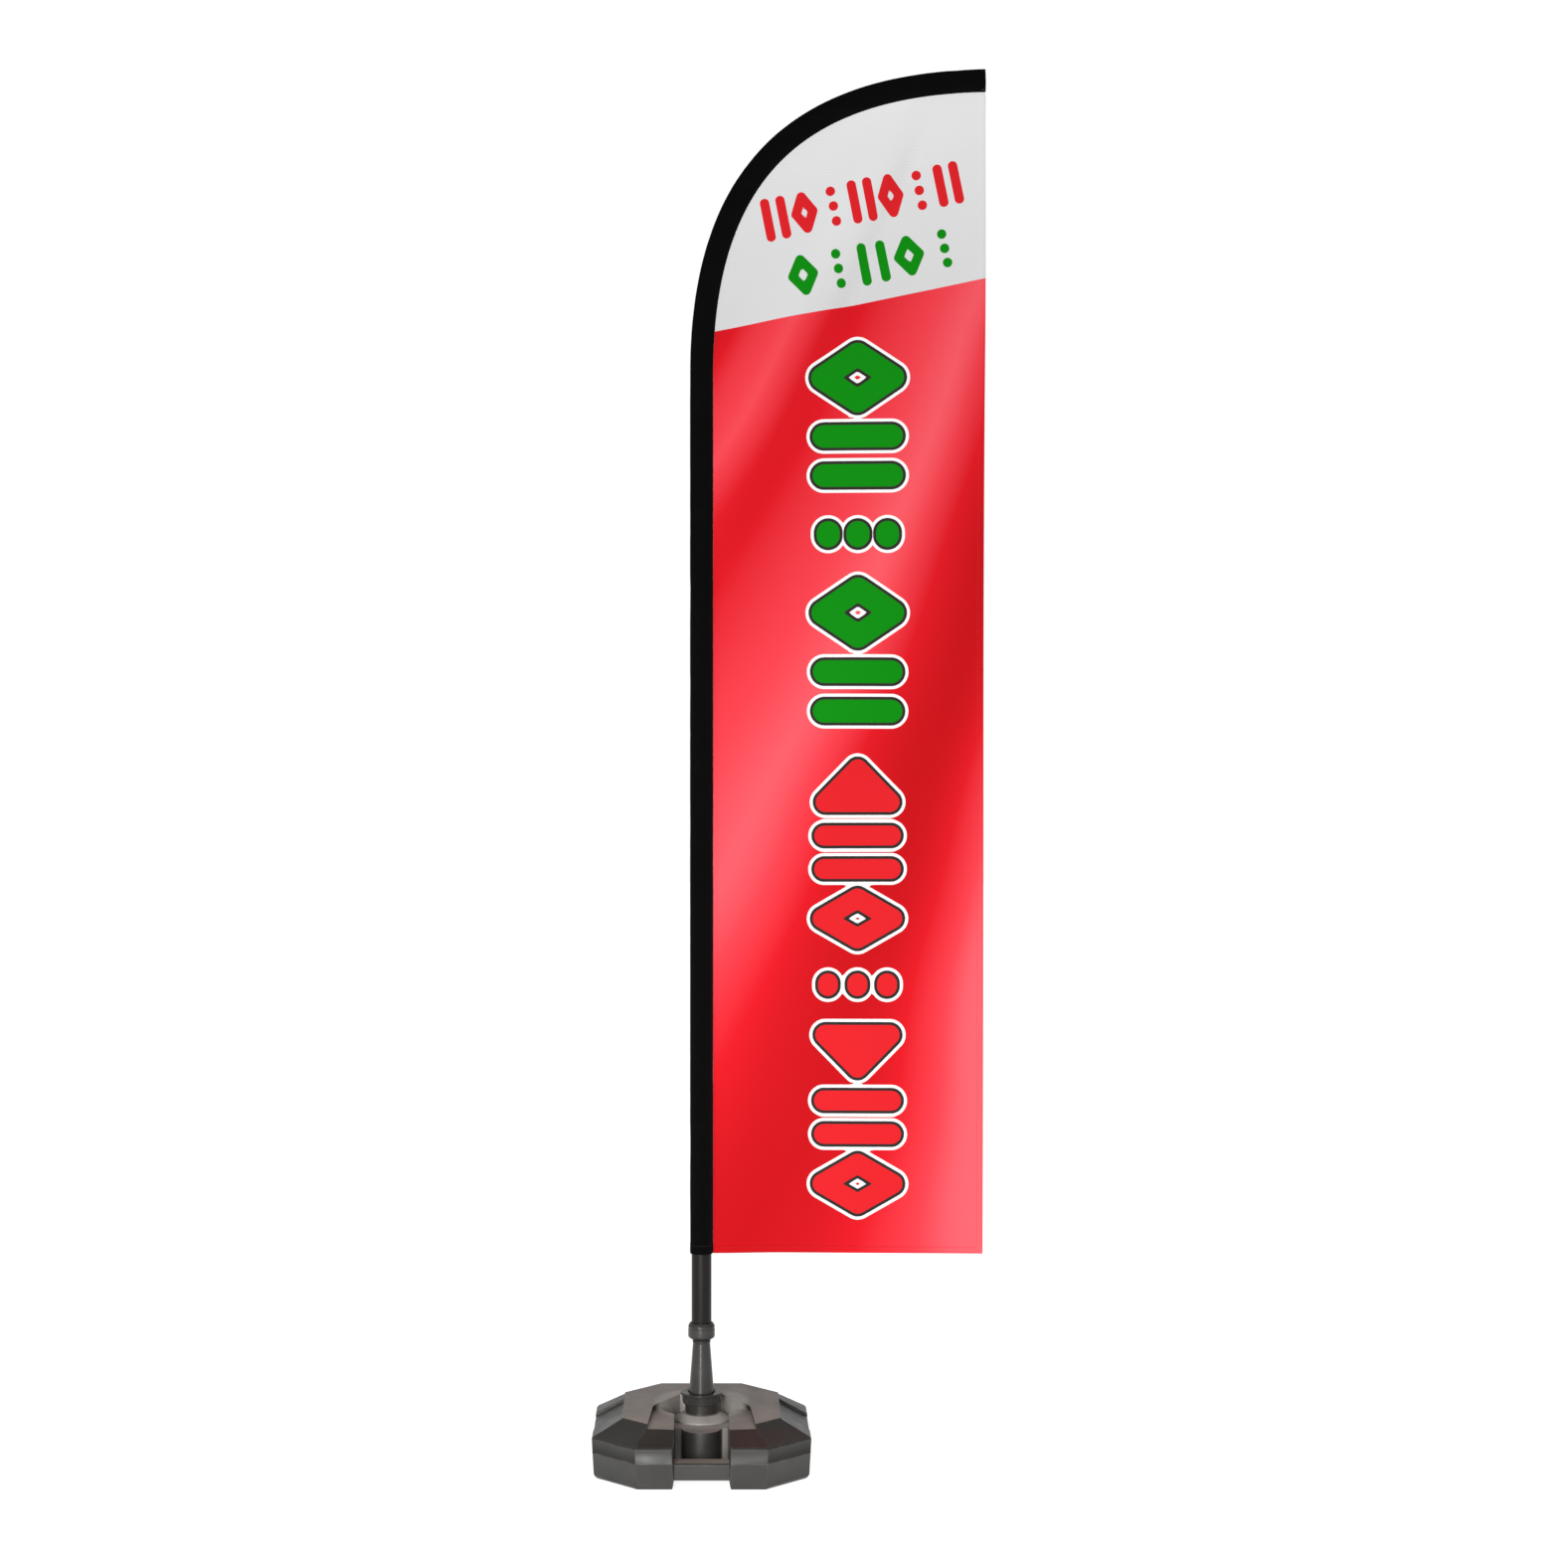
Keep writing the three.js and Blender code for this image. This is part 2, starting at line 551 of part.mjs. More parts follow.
function poleSleeve() {
  const sides = 24;
  const stations = sleeveStations();
  const outside = stations.map(({ at, thick }) => oval(at, sleeveHalf, thick, sides));
  // The inner skin runs a little past both ends, so that the sleeve is open there.
  const [first, last] = [stations[0], stations[stations.length - 1]];
  const past = 5;
  const inner = [
    { at: onPole(FLAG.footZ - past), thick: first.thick },
    ...stations.slice(1, -1),
    { at: { ...last.at, x: last.at.x + past }, thick: last.thick },
  ];
  const inside = inner.map(({ at, thick }) => oval(at, sleeveHalf - SLEEVE.cloth, thick - SLEEVE.cloth, sides));
  return skinned(outside).subtract(skinned(inside));
}

/** Narrow elastic band inside the sleeve's mouth, round the lower tube. */
function sleeveElastic() {
  const inner = LOWER.radius + ELASTIC.clearance;
  const low = FLAG.footZ + ELASTIC.above;
  return ring(inner, inner + ELASTIC.thickness, low, low + ELASTIC.width);
}

/** Folded webbing that closes the sleeve's end, where the whip pushes. */
function tipPocket() {
  const wide = sleeveHalf - SLEEVE.cloth - TIP_POCKET.ease;
  const thick = SLEEVE.tipThick - SLEEVE.cloth - TIP_POCKET.ease;
  const end = onBend(1);
  const rings = [TIP_POCKET.length, 0].map((back) => oval({ ...end, x: end.x - back }, wide, thick, 16));
  return skinned(rings);
}

/** Fibreglass rod: straight in the reducer, then along the sleeve's outer edge, tapering to the tip. */
function whip() {
  const sides = 12;
  const { rootRadius, tipRadius, straight, leanEndT, lean } = WHIP;
  const leanStartZ = MIDDLE.topZ + straight;
  const ends = tipShare();
  const bentShares = bendShares.map((t) => t * ends);
  const rings = [whipFootZ, leanStartZ].map((z) => oval(onPole(z), rootRadius, rootRadius, sides));
  const middle = (leanStartZ + FLAG.bendZ) / 2;
  rings.push(oval(onPole(middle, lean * 0.15), rootRadius, rootRadius, sides));
  rings.push(oval(onPole(FLAG.bendZ, lean * 0.5), rootRadius, rootRadius, sides));
  bentShares.forEach((t) => {
    const out = lean * (0.5 + 0.5 * Math.min(1, t / leanEndT));
    const radius = rootRadius + (tipRadius - rootRadius) * t;
    rings.push(oval(onBend(t, out), radius, radius, sides));
  });
  return skinned(rings);
}

/** The bend's share at which the whip ends, short of the tip cap and the pocket. */
function tipShare() {
  const free = TIP_POCKET.length + TIP_CAP.length - TIP_CAP.cover + 2 * GAP;
  return 1 - free / bend.getLength();
}

/** Round-nosed plastic cap over the whip's thin end. */
function tipCap() {
  const end = onBend(tipShare(), WHIP.lean);
  const { wall, ease, length, cover } = TIP_CAP;
  const bore = WHIP.tipRadius + ease;
  const radius = bore + wall;
  const nose = length - cover;
  const cap = turned([[0, GAP], [bore, GAP], [bore, -cover], [radius, -cover], [radius, nose - 3],
    [radius * 0.6, nose - 0.5], [0, nose]], 16);
  const slope = (Math.atan2(end.outX, end.outZ) * 180) / Math.PI;
  return cap.rotate([0, 90 + slope, 0]).translate(end.x, 0, end.z);
}

/** Printed cloth: straight fly and foot, its pole side cut to the sleeve's inner edge. */
function flagPanel() {
  const seam = sleeveHalf + GAP;
  const poleEdge = bendShares.map((t) => onBend(t, -seam)).map(({ x, z }) => [x, z]);
  const flyFoot = [FLAG.tipX - PANEL.flyTaper, FLAG.footZ];
  const outline = [flyFoot, ...poleEdge.reverse(), [seam, FLAG.bendZ], [seam, FLAG.footZ]];
  const half = PANEL.thickness / 2;
  return prism(outline, -half, half).rotate([90, 0, 0]);
}

// ---------------------------------------------------------------- assembly

const flag = new THREE.Group();

flag.add(
  mesh("tank", tank(), blackPolyethylene),
  mesh("filler_cap", fillerCap(), blackPlastic),
  mesh("filler_gasket", fillerGasket(), rubber),
  mesh("post", post(), blackPlastic),
  mesh("lock_ring", lockRing(), blackPlastic),
  mesh("slip_washer", slipWasher(), nylon),
  mesh("spindle", spindle(), steel),
  mesh("spindle_washer", spindleWasher(), steel),
  mesh("spindle_nut", spindleNut(), steel),
  mesh("collar_cup", collarCup(), blackPlastic),
  mesh("thrust_washer", thrustWasher(), nylon),
  mesh("swivel_bush", swivelBush(), nylon),
);

flag.add(
  mesh("lower_tube", tube(LOWER, poleFootZ), blackTube),
  mesh("guide_bush", guideBush(), nylon),
  mesh("lower_reducer", reducer(LOWER, MIDDLE.radius), blackPlastic),
  mesh("middle_tube", tube(MIDDLE, middleFootZ), blackTube),
  mesh("middle_reducer", reducer(MIDDLE, WHIP.rootRadius), blackPlastic),
);
for (const [side, word] of [[1, "back"], [-1, "front"]]) {
  flag.add(
    mesh(`lower_rivet_${word}`, rivet(LOWER, MIDDLE.radius, side), steel),
    mesh(`middle_rivet_${word}`, rivet(MIDDLE, WHIP.rootRadius, side), steel),
  );
}

flag.add(
  mesh("whip", whip(), fibreglass),
  mesh("tip_cap", tipCap(), blackPlastic),
  mesh("pole_sleeve", poleSleeve(), blackCloth),
  mesh("sleeve_elastic", sleeveElastic(), blackCloth),
  mesh("tip_pocket", tipPocket(), blackCloth),
  mesh("flag_panel", flagPanel(), printedCloth),
);

export default flag;
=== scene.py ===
import math
import bmesh
import bpy
import numpy as np
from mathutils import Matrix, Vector, noise


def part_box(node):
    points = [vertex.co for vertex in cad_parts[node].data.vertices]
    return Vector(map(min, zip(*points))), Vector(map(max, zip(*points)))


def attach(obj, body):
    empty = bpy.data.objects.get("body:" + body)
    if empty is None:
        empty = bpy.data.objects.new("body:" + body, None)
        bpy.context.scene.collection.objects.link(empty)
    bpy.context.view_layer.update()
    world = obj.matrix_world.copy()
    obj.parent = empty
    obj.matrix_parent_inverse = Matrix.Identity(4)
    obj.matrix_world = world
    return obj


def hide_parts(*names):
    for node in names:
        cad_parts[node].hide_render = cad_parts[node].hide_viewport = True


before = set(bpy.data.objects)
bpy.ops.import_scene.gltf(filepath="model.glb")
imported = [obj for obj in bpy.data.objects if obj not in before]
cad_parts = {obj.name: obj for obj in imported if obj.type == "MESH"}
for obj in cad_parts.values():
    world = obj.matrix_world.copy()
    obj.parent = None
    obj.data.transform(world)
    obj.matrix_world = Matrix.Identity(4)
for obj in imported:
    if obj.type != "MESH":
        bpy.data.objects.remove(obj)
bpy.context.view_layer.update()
scene = bpy.context.scene

# Camera: level with the middle of the flag and square to it, some five metres away. The pole stands left of the
# middle of the view, so the lens is shifted a little sideways and the tank is still seen straight from the front.
camera = bpy.data.objects.new("camera", bpy.data.cameras.new("camera"))
camera.location = (0, -5.15, 1.363)
camera.rotation_euler = (math.radians(90), 0, 0)
camera.data.lens = 58.8
camera.data.shift_x = 0.0526
scene.collection.objects.link(camera)
scene.camera = camera

# ---------------------------------------------------------------- studio
# A pale seamless floor before a white backdrop. The backdrop lights the object at two thirds of the brightness that
# it shows, and less from overhead and from both sides. A low softbox lights the tank and a tall one lights the flag.


def linear(colour):
    """An sRGB hex colour as linear RGBA."""
    parts = [int(colour[i:i + 2], 16) / 255 for i in (1, 3, 5)]
    return [c / 12.92 if c <= 0.04045 else ((c + 0.055) / 1.055) ** 2.4 for c in parts] + [1.0]


def fill(tree, node, inputs):
    """Sets a node's inputs by name or number: to values or colours, or links them to sockets or nodes' outputs."""
    for socket, value in inputs.items():
        if isinstance(value, str) and value.startswith("#"):
            value = linear(value)
        if isinstance(value, bpy.types.Node):
            value = next(output for output in value.outputs if output.enabled)
        if isinstance(value, bpy.types.NodeSocket):
            tree.links.new(value, node.inputs[socket])
        else:
            node.inputs[socket].default_value = value


def add(tree, kind, inputs=None, **settings):
    """Adds one node with its settings and what its inputs are given."""
    node = tree.nodes.new(kind)
    for name, value in settings.items():
        setattr(node, name, value)
    fill(tree, node, inputs or {})
    return node


world = bpy.data.worlds.new("studio")
world.use_nodes = True
world.node_tree.nodes.clear()
sky = world.node_tree
direction = add(sky, "ShaderNodeTexCoord")
height = add(sky, "ShaderNodeSeparateXYZ", {0: direction.outputs["Generated"]})
dimming = add(sky, "ShaderNodeMapRange", {0: height.outputs["Z"], 1: 0.3, 2: 0.9, 3: 1.0, 4: 0.3},
              interpolation_type="SMOOTHSTEP")
sideways = add(sky, "ShaderNodeMath", {0: height.outputs["X"], 1: 2.0}, operation="POWER")
shaded = add(sky, "ShaderNodeMapRange", {0: sideways, 1: 0.2, 2: 0.9, 3: 0.68, 4: 0.36})
soft_light = add(sky, "ShaderNodeMath", {0: dimming, 1: shaded}, operation="MULTIPLY")
backdrop = add(sky, "ShaderNodeLightPath").outputs["Is Camera Ray"]
strength = add(sky, "ShaderNodeMath", {0: soft_light, 1: backdrop}, operation="MAXIMUM")
background = add(sky, "ShaderNodeBackground", {"Color": "#FFFFFF", "Strength": strength})
add(sky, "ShaderNodeOutputWorld", {"Surface": background})
scene.world = world
scene.view_settings.view_transform = "Standard"


def start_material(name):
    """An empty material with its shader: (material, tree, shader)."""
    material = bpy.data.materials.new(name)
    material.use_nodes = True
    tree = material.node_tree
    tree.nodes.clear()
    shader = add(tree, "ShaderNodeBsdfPrincipled")
    add(tree, "ShaderNodeOutputMaterial", {"Surface": shader})
    return material, tree, shader


def drifting(tree, spot, patches, low=0.0, high=1.0, span=(0.3, 0.7)):
    """A value that drifts from low to high over soft patches, so many to a metre."""
    cloud = add(tree, "ShaderNodeTexNoise", {"Vector": spot, "Scale": patches, "Detail": 4})
    return add(tree, "ShaderNodeMapRange", {0: cloud, 1: span[0], 2: span[1], 3: low, 4: high})


def uneven(tree, spot, bumps, detail, strength, depth, over=None):
    """The surface raised and sunk by noise, so many bumps to a metre, over the relief that it is given."""
    cloud = add(tree, "ShaderNodeTexNoise", {"Vector": spot, "Scale": bumps, "Detail": detail})
    below = {"Normal": over} if over else {}
    return add(tree, "ShaderNodeBump", {"Strength": strength, "Distance": depth, "Height": cloud, **below})


def place(name, mesh):
    piece = bpy.data.objects.new(name, mesh)
    scene.collection.objects.link(piece)
    return piece


floor_paint, tree, painted = start_material("floor_paint")
fill(tree, painted, {"Base Color": "#D9D9D9", "Roughness": 0.9, "Emission Color": "#FFFFFF",
                     "Emission Strength": 0.86})
floor_mesh = bpy.data.meshes.new("floor")
reach = 30.0
floor_mesh.from_pydata([(-reach, -reach, 0), (reach, -reach, 0), (reach, reach, 0), (-reach, reach, 0)], [],
                       [(0, 1, 2, 3)])
floor_mesh.materials.append(floor_paint)
floor = place("floor", floor_mesh)
floor.visible_diffuse = False


def softbox(name, wide, high, spot, aim, power):
    lamp = bpy.data.lights.new(name, "AREA")
    lamp.shape = "RECTANGLE"
    lamp.size, lamp.size_y, lamp.energy = wide, high, power
    holder = bpy.data.objects.new(name, lamp)
    holder.location = spot
    holder.rotation_euler = (Vector(aim) - Vector(spot)).to_track_quat("-Z", "Y").to_euler()
    scene.collection.objects.link(holder)
    holder.visible_camera = False


softbox("flag_softbox", 1.6, 2.4, (-1.6, -4.4, 2.0), (0.2, 0, 1.5), 66)
softbox("tank_softbox", 0.26, 0.8, (-0.4, -2.2, 0.44), (0, 0, 0.16), 27)

# ---------------------------------------------------------------- tank
# The tank is one blow moulding in black polyethylene, filled with water as ballast. The mould leaves a parting bead
# half way up the wall, soft corners and a fine satin grain. What faces up is paler, partly with dust and partly with
# painted light, and edges get rubbed.

MM = 0.001


def smoothed(piece, degrees=32):
    piece.data.shade_smooth()
    piece.data.set_sharp_from_angle(angle=math.radians(degrees))
    return piece


def fitted(piece, body, slot, material, *nodes):
    """Gives a finished piece its material and body, and the CAD nodes that it stands for; its slot is not used."""
    piece.data.materials.clear()
    piece.data.materials.append(material)
    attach(piece, body)
    if nodes:
        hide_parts(*nodes)
    return piece


# Blow-moulded polyethylene: satin black that greys where it is rubbed, with a warm paleness on flat tops that is
# partly dust and partly painted light, and painted light round the hub. The mould's sandblast grain is about 0.3 mm,
# drawn here at 2.5 mm so that it shows, over a slow sink of the walls.
blow_moulded, tree, shader = start_material("blow_moulded_polyethylene")
spot = add(tree, "ShaderNodeTexCoord").outputs["Object"]
facing = add(tree, "ShaderNodeNewGeometry")
upward = add(tree, "ShaderNodeSeparateXYZ", {0: facing.outputs["Normal"]}).outputs["Z"]
soft_edge = add(tree, "ShaderNodeBevel", {"Radius": 4 * MM}, samples=4)
along = add(tree, "ShaderNodeVectorMath", {0: soft_edge, 1: facing.outputs["Normal"]}, operation="DOT_PRODUCT")
on_edge = add(tree, "ShaderNodeMapRange", {0: along.outputs["Value"], 1: 0.995, 2: 0.93})
rubs = drifting(tree, spot, 45, span=(0.35, 0.7))
rubbed = add(tree, "ShaderNodeMath", {0: on_edge, 1: rubs}, operation="MULTIPLY")
# Flat tops are paler where they face up: partly dust, partly painted light.
on_flat = add(tree, "ShaderNodeMapRange", {0: upward, 1: 0.90, 2: 0.995})
dust_and_light_patches = drifting(tree, spot, 14, 0.45, 1.0, span=(0.2, 0.75))
dust_and_top_light = add(tree, "ShaderNodeMath", {0: on_flat, 1: dust_and_light_patches}, operation="MULTIPLY")
plain = add(tree, "ShaderNodeMix", {0: drifting(tree, spot, 9), 6: "#262522", 7: "#302F2C"}, data_type="RGBA")
scuffed = add(tree, "ShaderNodeMix", {0: rubbed, 6: plain, 7: "#5C5750"}, data_type="RGBA")
dusted_and_top_lit = add(tree, "ShaderNodeMix", {0: dust_and_top_light, 6: scuffed, 7: "#9C9087"}, data_type="RGBA")
# Painted light round the hub: a painted highlight on its cone and painted light over the shaded funnel walls. It
# starts outside the neck and fades out on the deck.
level = add(tree, "ShaderNodeVectorMath", {0: spot, 1: (1, 1, 0)}, operation="MULTIPLY")
from_axis = add(tree, "ShaderNodeVectorMath", {0: level}, operation="LENGTH").outputs["Value"]
near_hub = add(tree, "ShaderNodeMapRange", {0: from_axis, 1: 100 * MM, 2: 84 * MM})
off_neck = add(tree, "ShaderNodeMapRange", {0: from_axis, 1: 35.5 * MM, 2: 38.5 * MM})
not_under = add(tree, "ShaderNodeMapRange", {0: upward, 1: -0.6, 2: -0.2})
painted_hub_light = drifting(tree, spot, 24, 0.6, 1.0, span=(0.2, 0.6))
for limit in (near_hub, off_neck, not_under):
    painted_hub_light = add(tree, "ShaderNodeMath", {0: painted_hub_light, 1: limit}, operation="MULTIPLY")
# Painted light: the funnel round the hub is mixed towards a pale grey, as a painted highlight.
shade = add(tree, "ShaderNodeMix", {0: painted_hub_light, 6: dusted_and_top_lit, 7: "#A8A29C"}, data_type="RGBA")
shine = drifting(tree, spot, 30, 0.36, 0.46)
dulled = add(tree, "ShaderNodeMapRange", {0: dust_and_top_light, 1: 0, 2: 1, 3: 0, 4: 0.08})
roughness = add(tree, "ShaderNodeMath", {0: shine, 1: dulled}, operation="ADD")
corners = add(tree, "ShaderNodeBevel", {"Radius": 2.5 * MM}, samples=8)
grain = uneven(tree, spot, 400, 3, 0.35, 0.3 * MM, corners)
sunk = uneven(tree, spot, 11, 1, 0.5, 4 * MM, grain)
fill(tree, shader, {"Base Color": shade, "Roughness": roughness, "IOR": 1.52, "Specular IOR Level": 0.42,
                    "Normal": sunk})

# The CAD solid with its loose triangles merged and its flat areas made whole, then its long corners rounded as the
# mould rounds them, 3 mm or less beside a narrow face. The material rounds the light on the short ones between them.
TANK_ROUND = 3.0 * MM
shell = bmesh.new()
shell.from_mesh(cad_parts["tank"].data)
bmesh.ops.remove_doubles(shell, verts=shell.verts, dist=0.005 * MM)
bmesh.ops.dissolve_limit(shell, angle_limit=math.radians(0.6), verts=shell.verts, edges=shell.edges)
weight = shell.edges.layers.float.new("bevel_weight_edge")
roomy = {v for v in shell.verts if len(v.link_edges) <= 4 and min(e.calc_length() for e in v.link_edges) > 8 * MM}
for edge in shell.edges:
    if len(edge.link_faces) == 2 and edge.calc_face_angle(0) > math.radians(22) and roomy.issuperset(edge.verts):
        narrowest = min(f.calc_area() / max(e.calc_length() for e in f.edges) for f in edge.link_faces)
        edge[weight] = min(1.0, 0.3 * narrowest / TANK_ROUND) if narrowest > 4 * MM else 0.0
tank_mesh = bpy.data.meshes.new("tank_shell")
shell.to_mesh(tank_mesh)
shell.free()
tank_shell = place("tank_shell", tank_mesh)
rounding = tank_shell.modifiers.new("rounding", "BEVEL")
rounding.limit_method = "WEIGHT"
rounding.width = TANK_ROUND
rounding.segments = 3
rounding.use_clamp_overlap = False
rounding.harden_normals = True
fitted(smoothed(tank_shell, 11), "base", "tank_plastic", blow_moulded, "tank")


def node_tree(name, *inputs):
    """A geometry tree with these named inputs: (tree, what it is given by name)."""
    tree = bpy.data.node_groups.new(name, "GeometryNodeTree")
    tree.interface.new_socket("Geometry", in_out="INPUT", socket_type="NodeSocketGeometry")
    for label, kind in inputs:
        tree.interface.new_socket(label, in_out="INPUT", socket_type="NodeSocket" + kind)
    tree.interface.new_socket("Geometry", in_out="OUTPUT", socket_type="NodeSocketGeometry")
    return tree, add(tree, "NodeGroupInput").outputs


def ended(tree, geometry, given):
    """Closes a tree: real mesh, smooth, with its material."""
    real = add(tree, "GeometryNodeRealizeInstances", {"Geometry": geometry})
    soft = add(tree, "GeometryNodeSetShadeSmooth", {"Geometry": real})
    last = add(tree, "GeometryNodeSetMaterial", {"Geometry": soft, "Material": given["Material"]})
    add(tree, "NodeGroupOutput", {"Geometry": last})


def grown(name, tree, values, points=(), edges=(), radii=None):
    """Runs a tree on a line or points, with its inputs set by identifier, and keeps the result as a plain mesh."""
    carrier = bpy.data.meshes.new(name)
    carrier.from_pydata([tuple(p) for p in points], list(edges), [])
    if radii is not None:
        carrier.attributes.new("thickness", "FLOAT", "POINT").data.foreach_set("value", radii)
    piece = place(name, carrier)
    modifier = piece.modifiers.new("nodes", "NODES")
    modifier.node_group = tree
    for item in tree.interface.items_tree:
        if item.in_out == "INPUT" and item.name in values:
            modifier[item.identifier] = values[item.name]
    shown = piece.evaluated_get(bpy.context.evaluated_depsgraph_get())
    made = bpy.data.meshes.new_from_object(shown)
    piece.modifiers.remove(modifier)
    piece.data = made
    return smoothed(piece, 50)


# Screw threads of the two necks: one ridge run up each neck as a spiral, at the pitch that its ring or cap rises by.
thread, given = node_tree("thread", ("Radius", "Float"), ("Pitch", "Float"), ("Turns", "Float"), ("Ridge", "Float"),
                          ("Foot", "Vector"), ("Material", "Material"))
rise = add(thread, "ShaderNodeMath", {0: given["Pitch"], 1: given["Turns"]}, operation="MULTIPLY")
spiral = add(thread, "GeometryNodeCurveSpiral", {"Resolution": 64, "Rotations": given["Turns"],
                                                 "Start Radius": given["Radius"], "End Radius": given["Radius"],
                                                 "Height": rise})
ridge = add(thread, "GeometryNodeCurvePrimitiveCircle", {"Resolution": 6, "Radius": given["Ridge"]})
swept = add(thread, "GeometryNodeCurveToMesh", {"Curve": spiral, "Profile Curve": ridge, "Fill Caps": True})
raised = add(thread, "GeometryNodeTransform", {"Geometry": swept, "Translation": given["Foot"]})
ended(thread, raised, given)

NECK_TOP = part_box("post")[0].z + 120 * MM
neck_thread = grown("neck_thread", thread, {"Radius": 32.3 * MM, "Pitch": 3 * MM, "Turns": 8.0, "Ridge": 0.8 * MM,
                                            "Foot": (0, 0, NECK_TOP - 28 * MM), "Material": blow_moulded})
fitted(neck_thread, "base", "tank_plastic", blow_moulded)
FILLER_Y = (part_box("filler_cap")[0].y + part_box("filler_cap")[1].y) / 2
FILLER_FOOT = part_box("filler_cap")[0].z
filler_thread = grown("filler_thread", thread, {"Radius": 16.9 * MM, "Pitch": 4 * MM, "Turns": 2.0,
                                                "Ridge": 0.5 * MM, "Material": blow_moulded,
                                                "Foot": (0, FILLER_Y, FILLER_FOOT + 1.5 * MM)})
fitted(filler_thread, "base", "tank_plastic", blow_moulded)

# ---------------------------------------------------------------- filler cap and its gasket
# A screw cap moulded in black polypropylene, ribbed for the fingers, over a flat rubber gasket on the filler's rim.


def rounded(outline):
    """A closed outline of (radius, z, rounding) in mm, every corner made a small arc, in metres."""
    line = []
    for i, (radius, level, cut) in enumerate(outline):
        here = Vector((radius, level))
        before = Vector(outline[i - 1][:2]) - here
        after = Vector(outline[(i + 1) % len(outline)][:2]) - here
        near = min(cut, before.length * 0.45, after.length * 0.45)
        start, end = here + before.normalized() * near, here + after.normalized() * near
        shares = [k / 4 for k in range(5)] if near > 0 else [0.0]
        line += [start.lerp(here, s).lerp(here.lerp(end, s), s) * MM for s in shares]
    return line


def turned(name, outline, sides=72, y=0.0):
    """A piece turned about an upright axis from its outline, closed, with its faces outwards."""
    line = rounded(outline)
    if sum(a.x * b.y - b.x * a.y for a, b in zip(line, line[1:] + line[:1])) < 0:
        line.reverse()
    solid = bmesh.new()
    rings = []
    for point in line:
        count = 1 if point.x < 1e-7 else sides
        turns = [2 * math.pi * k / sides for k in range(count)]
        rings.append([solid.verts.new((point.x * math.cos(a), y + point.x * math.sin(a), point.y)) for a in turns])
    for low, high in zip(rings, rings[1:] + rings[:1]):
        if len(low) == len(high) == 1:
            continue
        for k in range(sides):
            after = k + 1
            corners = [low[k % len(low)], low[after % len(low)], high[after % len(high)], high[k % len(high)]]
            solid.faces.new(list(dict.fromkeys(corners)))
    mesh = bpy.data.meshes.new(name)
    solid.to_mesh(mesh)
    solid.free()
    return smoothed(place(name, mesh), 40)


# Injection-moulded polypropylene: dark grey, smoother than the tank, with a fine spark-eroded grain of about 0.2 mm,
# drawn at 2 mm, and a slow unevenness that breaks up its highlights.
injected, tree, shader = start_material("injection_moulded_polypropylene")
spot = add(tree, "ShaderNodeTexCoord").outputs["Object"]
shade = add(tree, "ShaderNodeMix", {0: drifting(tree, spot, 18), 6: "#302E2C", 7: "#3D3B39"}, data_type="RGBA")
roughness = drifting(tree, spot, 35, 0.24, 0.32)
grain = uneven(tree, spot, 500, 2, 0.22, 0.2 * MM)
sunk = uneven(tree, spot, 40, 1, 0.4, 0.8 * MM, grain)
fill(tree, shader, {"Base Color": shade, "Roughness": roughness, "IOR": 1.49, "Specular IOR Level": 0.3,
                    "Normal": sunk})

filler_cap = turned("screw_cap", [(0, 124.95, 0), (17.6, 124.95, 0.3), (17.6, 111.6, 0.4), (21, 111.6, 0.6),
                                  (21, 127.55, 1.6), (14, 127.55, 0.8), (13, 126.9, 0.5), (0, 126.9, 0)], y=FILLER_Y)
fitted(filler_cap, "filler_cap", "post_plastic", injected, "filler_cap")

# Finger ribs: a rib stood at each point of a ring round the cap or the lock ring, half sunk in its skirt.
ribs, given = node_tree("finger_ribs", ("Radius", "Float"), ("Count", "Int"), ("Rib", "Float"), ("Height", "Float"),
                        ("Middle", "Vector"), ("Material", "Material"))
stands = add(ribs, "GeometryNodeMeshCircle", {"Vertices": given["Count"], "Radius": given["Radius"]})
rib = add(ribs, "GeometryNodeMeshCylinder", {"Vertices": 8, "Radius": given["Rib"], "Depth": given["Height"]})
ringed = add(ribs, "GeometryNodeInstanceOnPoints", {"Points": stands, "Instance": rib})
moved = add(ribs, "GeometryNodeTransform", {"Geometry": ringed, "Translation": given["Middle"]})
ended(ribs, moved, given)

cap_ribs = grown("screw_cap_ribs", ribs, {"Radius": 20.8 * MM, "Count": 30, "Rib": 0.9 * MM, "Height": 12 * MM,
                                          "Middle": (0, FILLER_Y, FILLER_FOOT + 7.5 * MM), "Material": injected})
fitted(cap_ribs, "filler_cap", "post_plastic", injected)

# Moulded rubber: dead black, with a bloom of fine dust.
rubber, tree, shader = start_material("moulded_rubber")
spot = add(tree, "ShaderNodeTexCoord").outputs["Object"]
bloom = drifting(tree, spot, 260, span=(0.35, 0.75))
shade = add(tree, "ShaderNodeMix", {0: bloom, 6: "#171717", 7: "#2A2927"}, data_type="RGBA")
roughness = drifting(tree, spot, 90, 0.75, 0.9)
fill(tree, shader, {"Base Color": shade, "Roughness": roughness})
gasket = turned("cap_gasket", [(14, 123.15, 0.3), (17, 123.15, 0.3), (17, 124.65, 0.3), (14, 124.65, 0.3)],
                y=FILLER_Y)
fitted(gasket, "cap_seal", "gasket", rubber, "filler_gasket")

# ---------------------------------------------------------------- post
# The tapered post is injection moulded. Its plug sits in the tank's socket and its foot flange on the neck, and the
# spindle runs up its bore. A rounded root and a small bead under the collar are moulded with it.

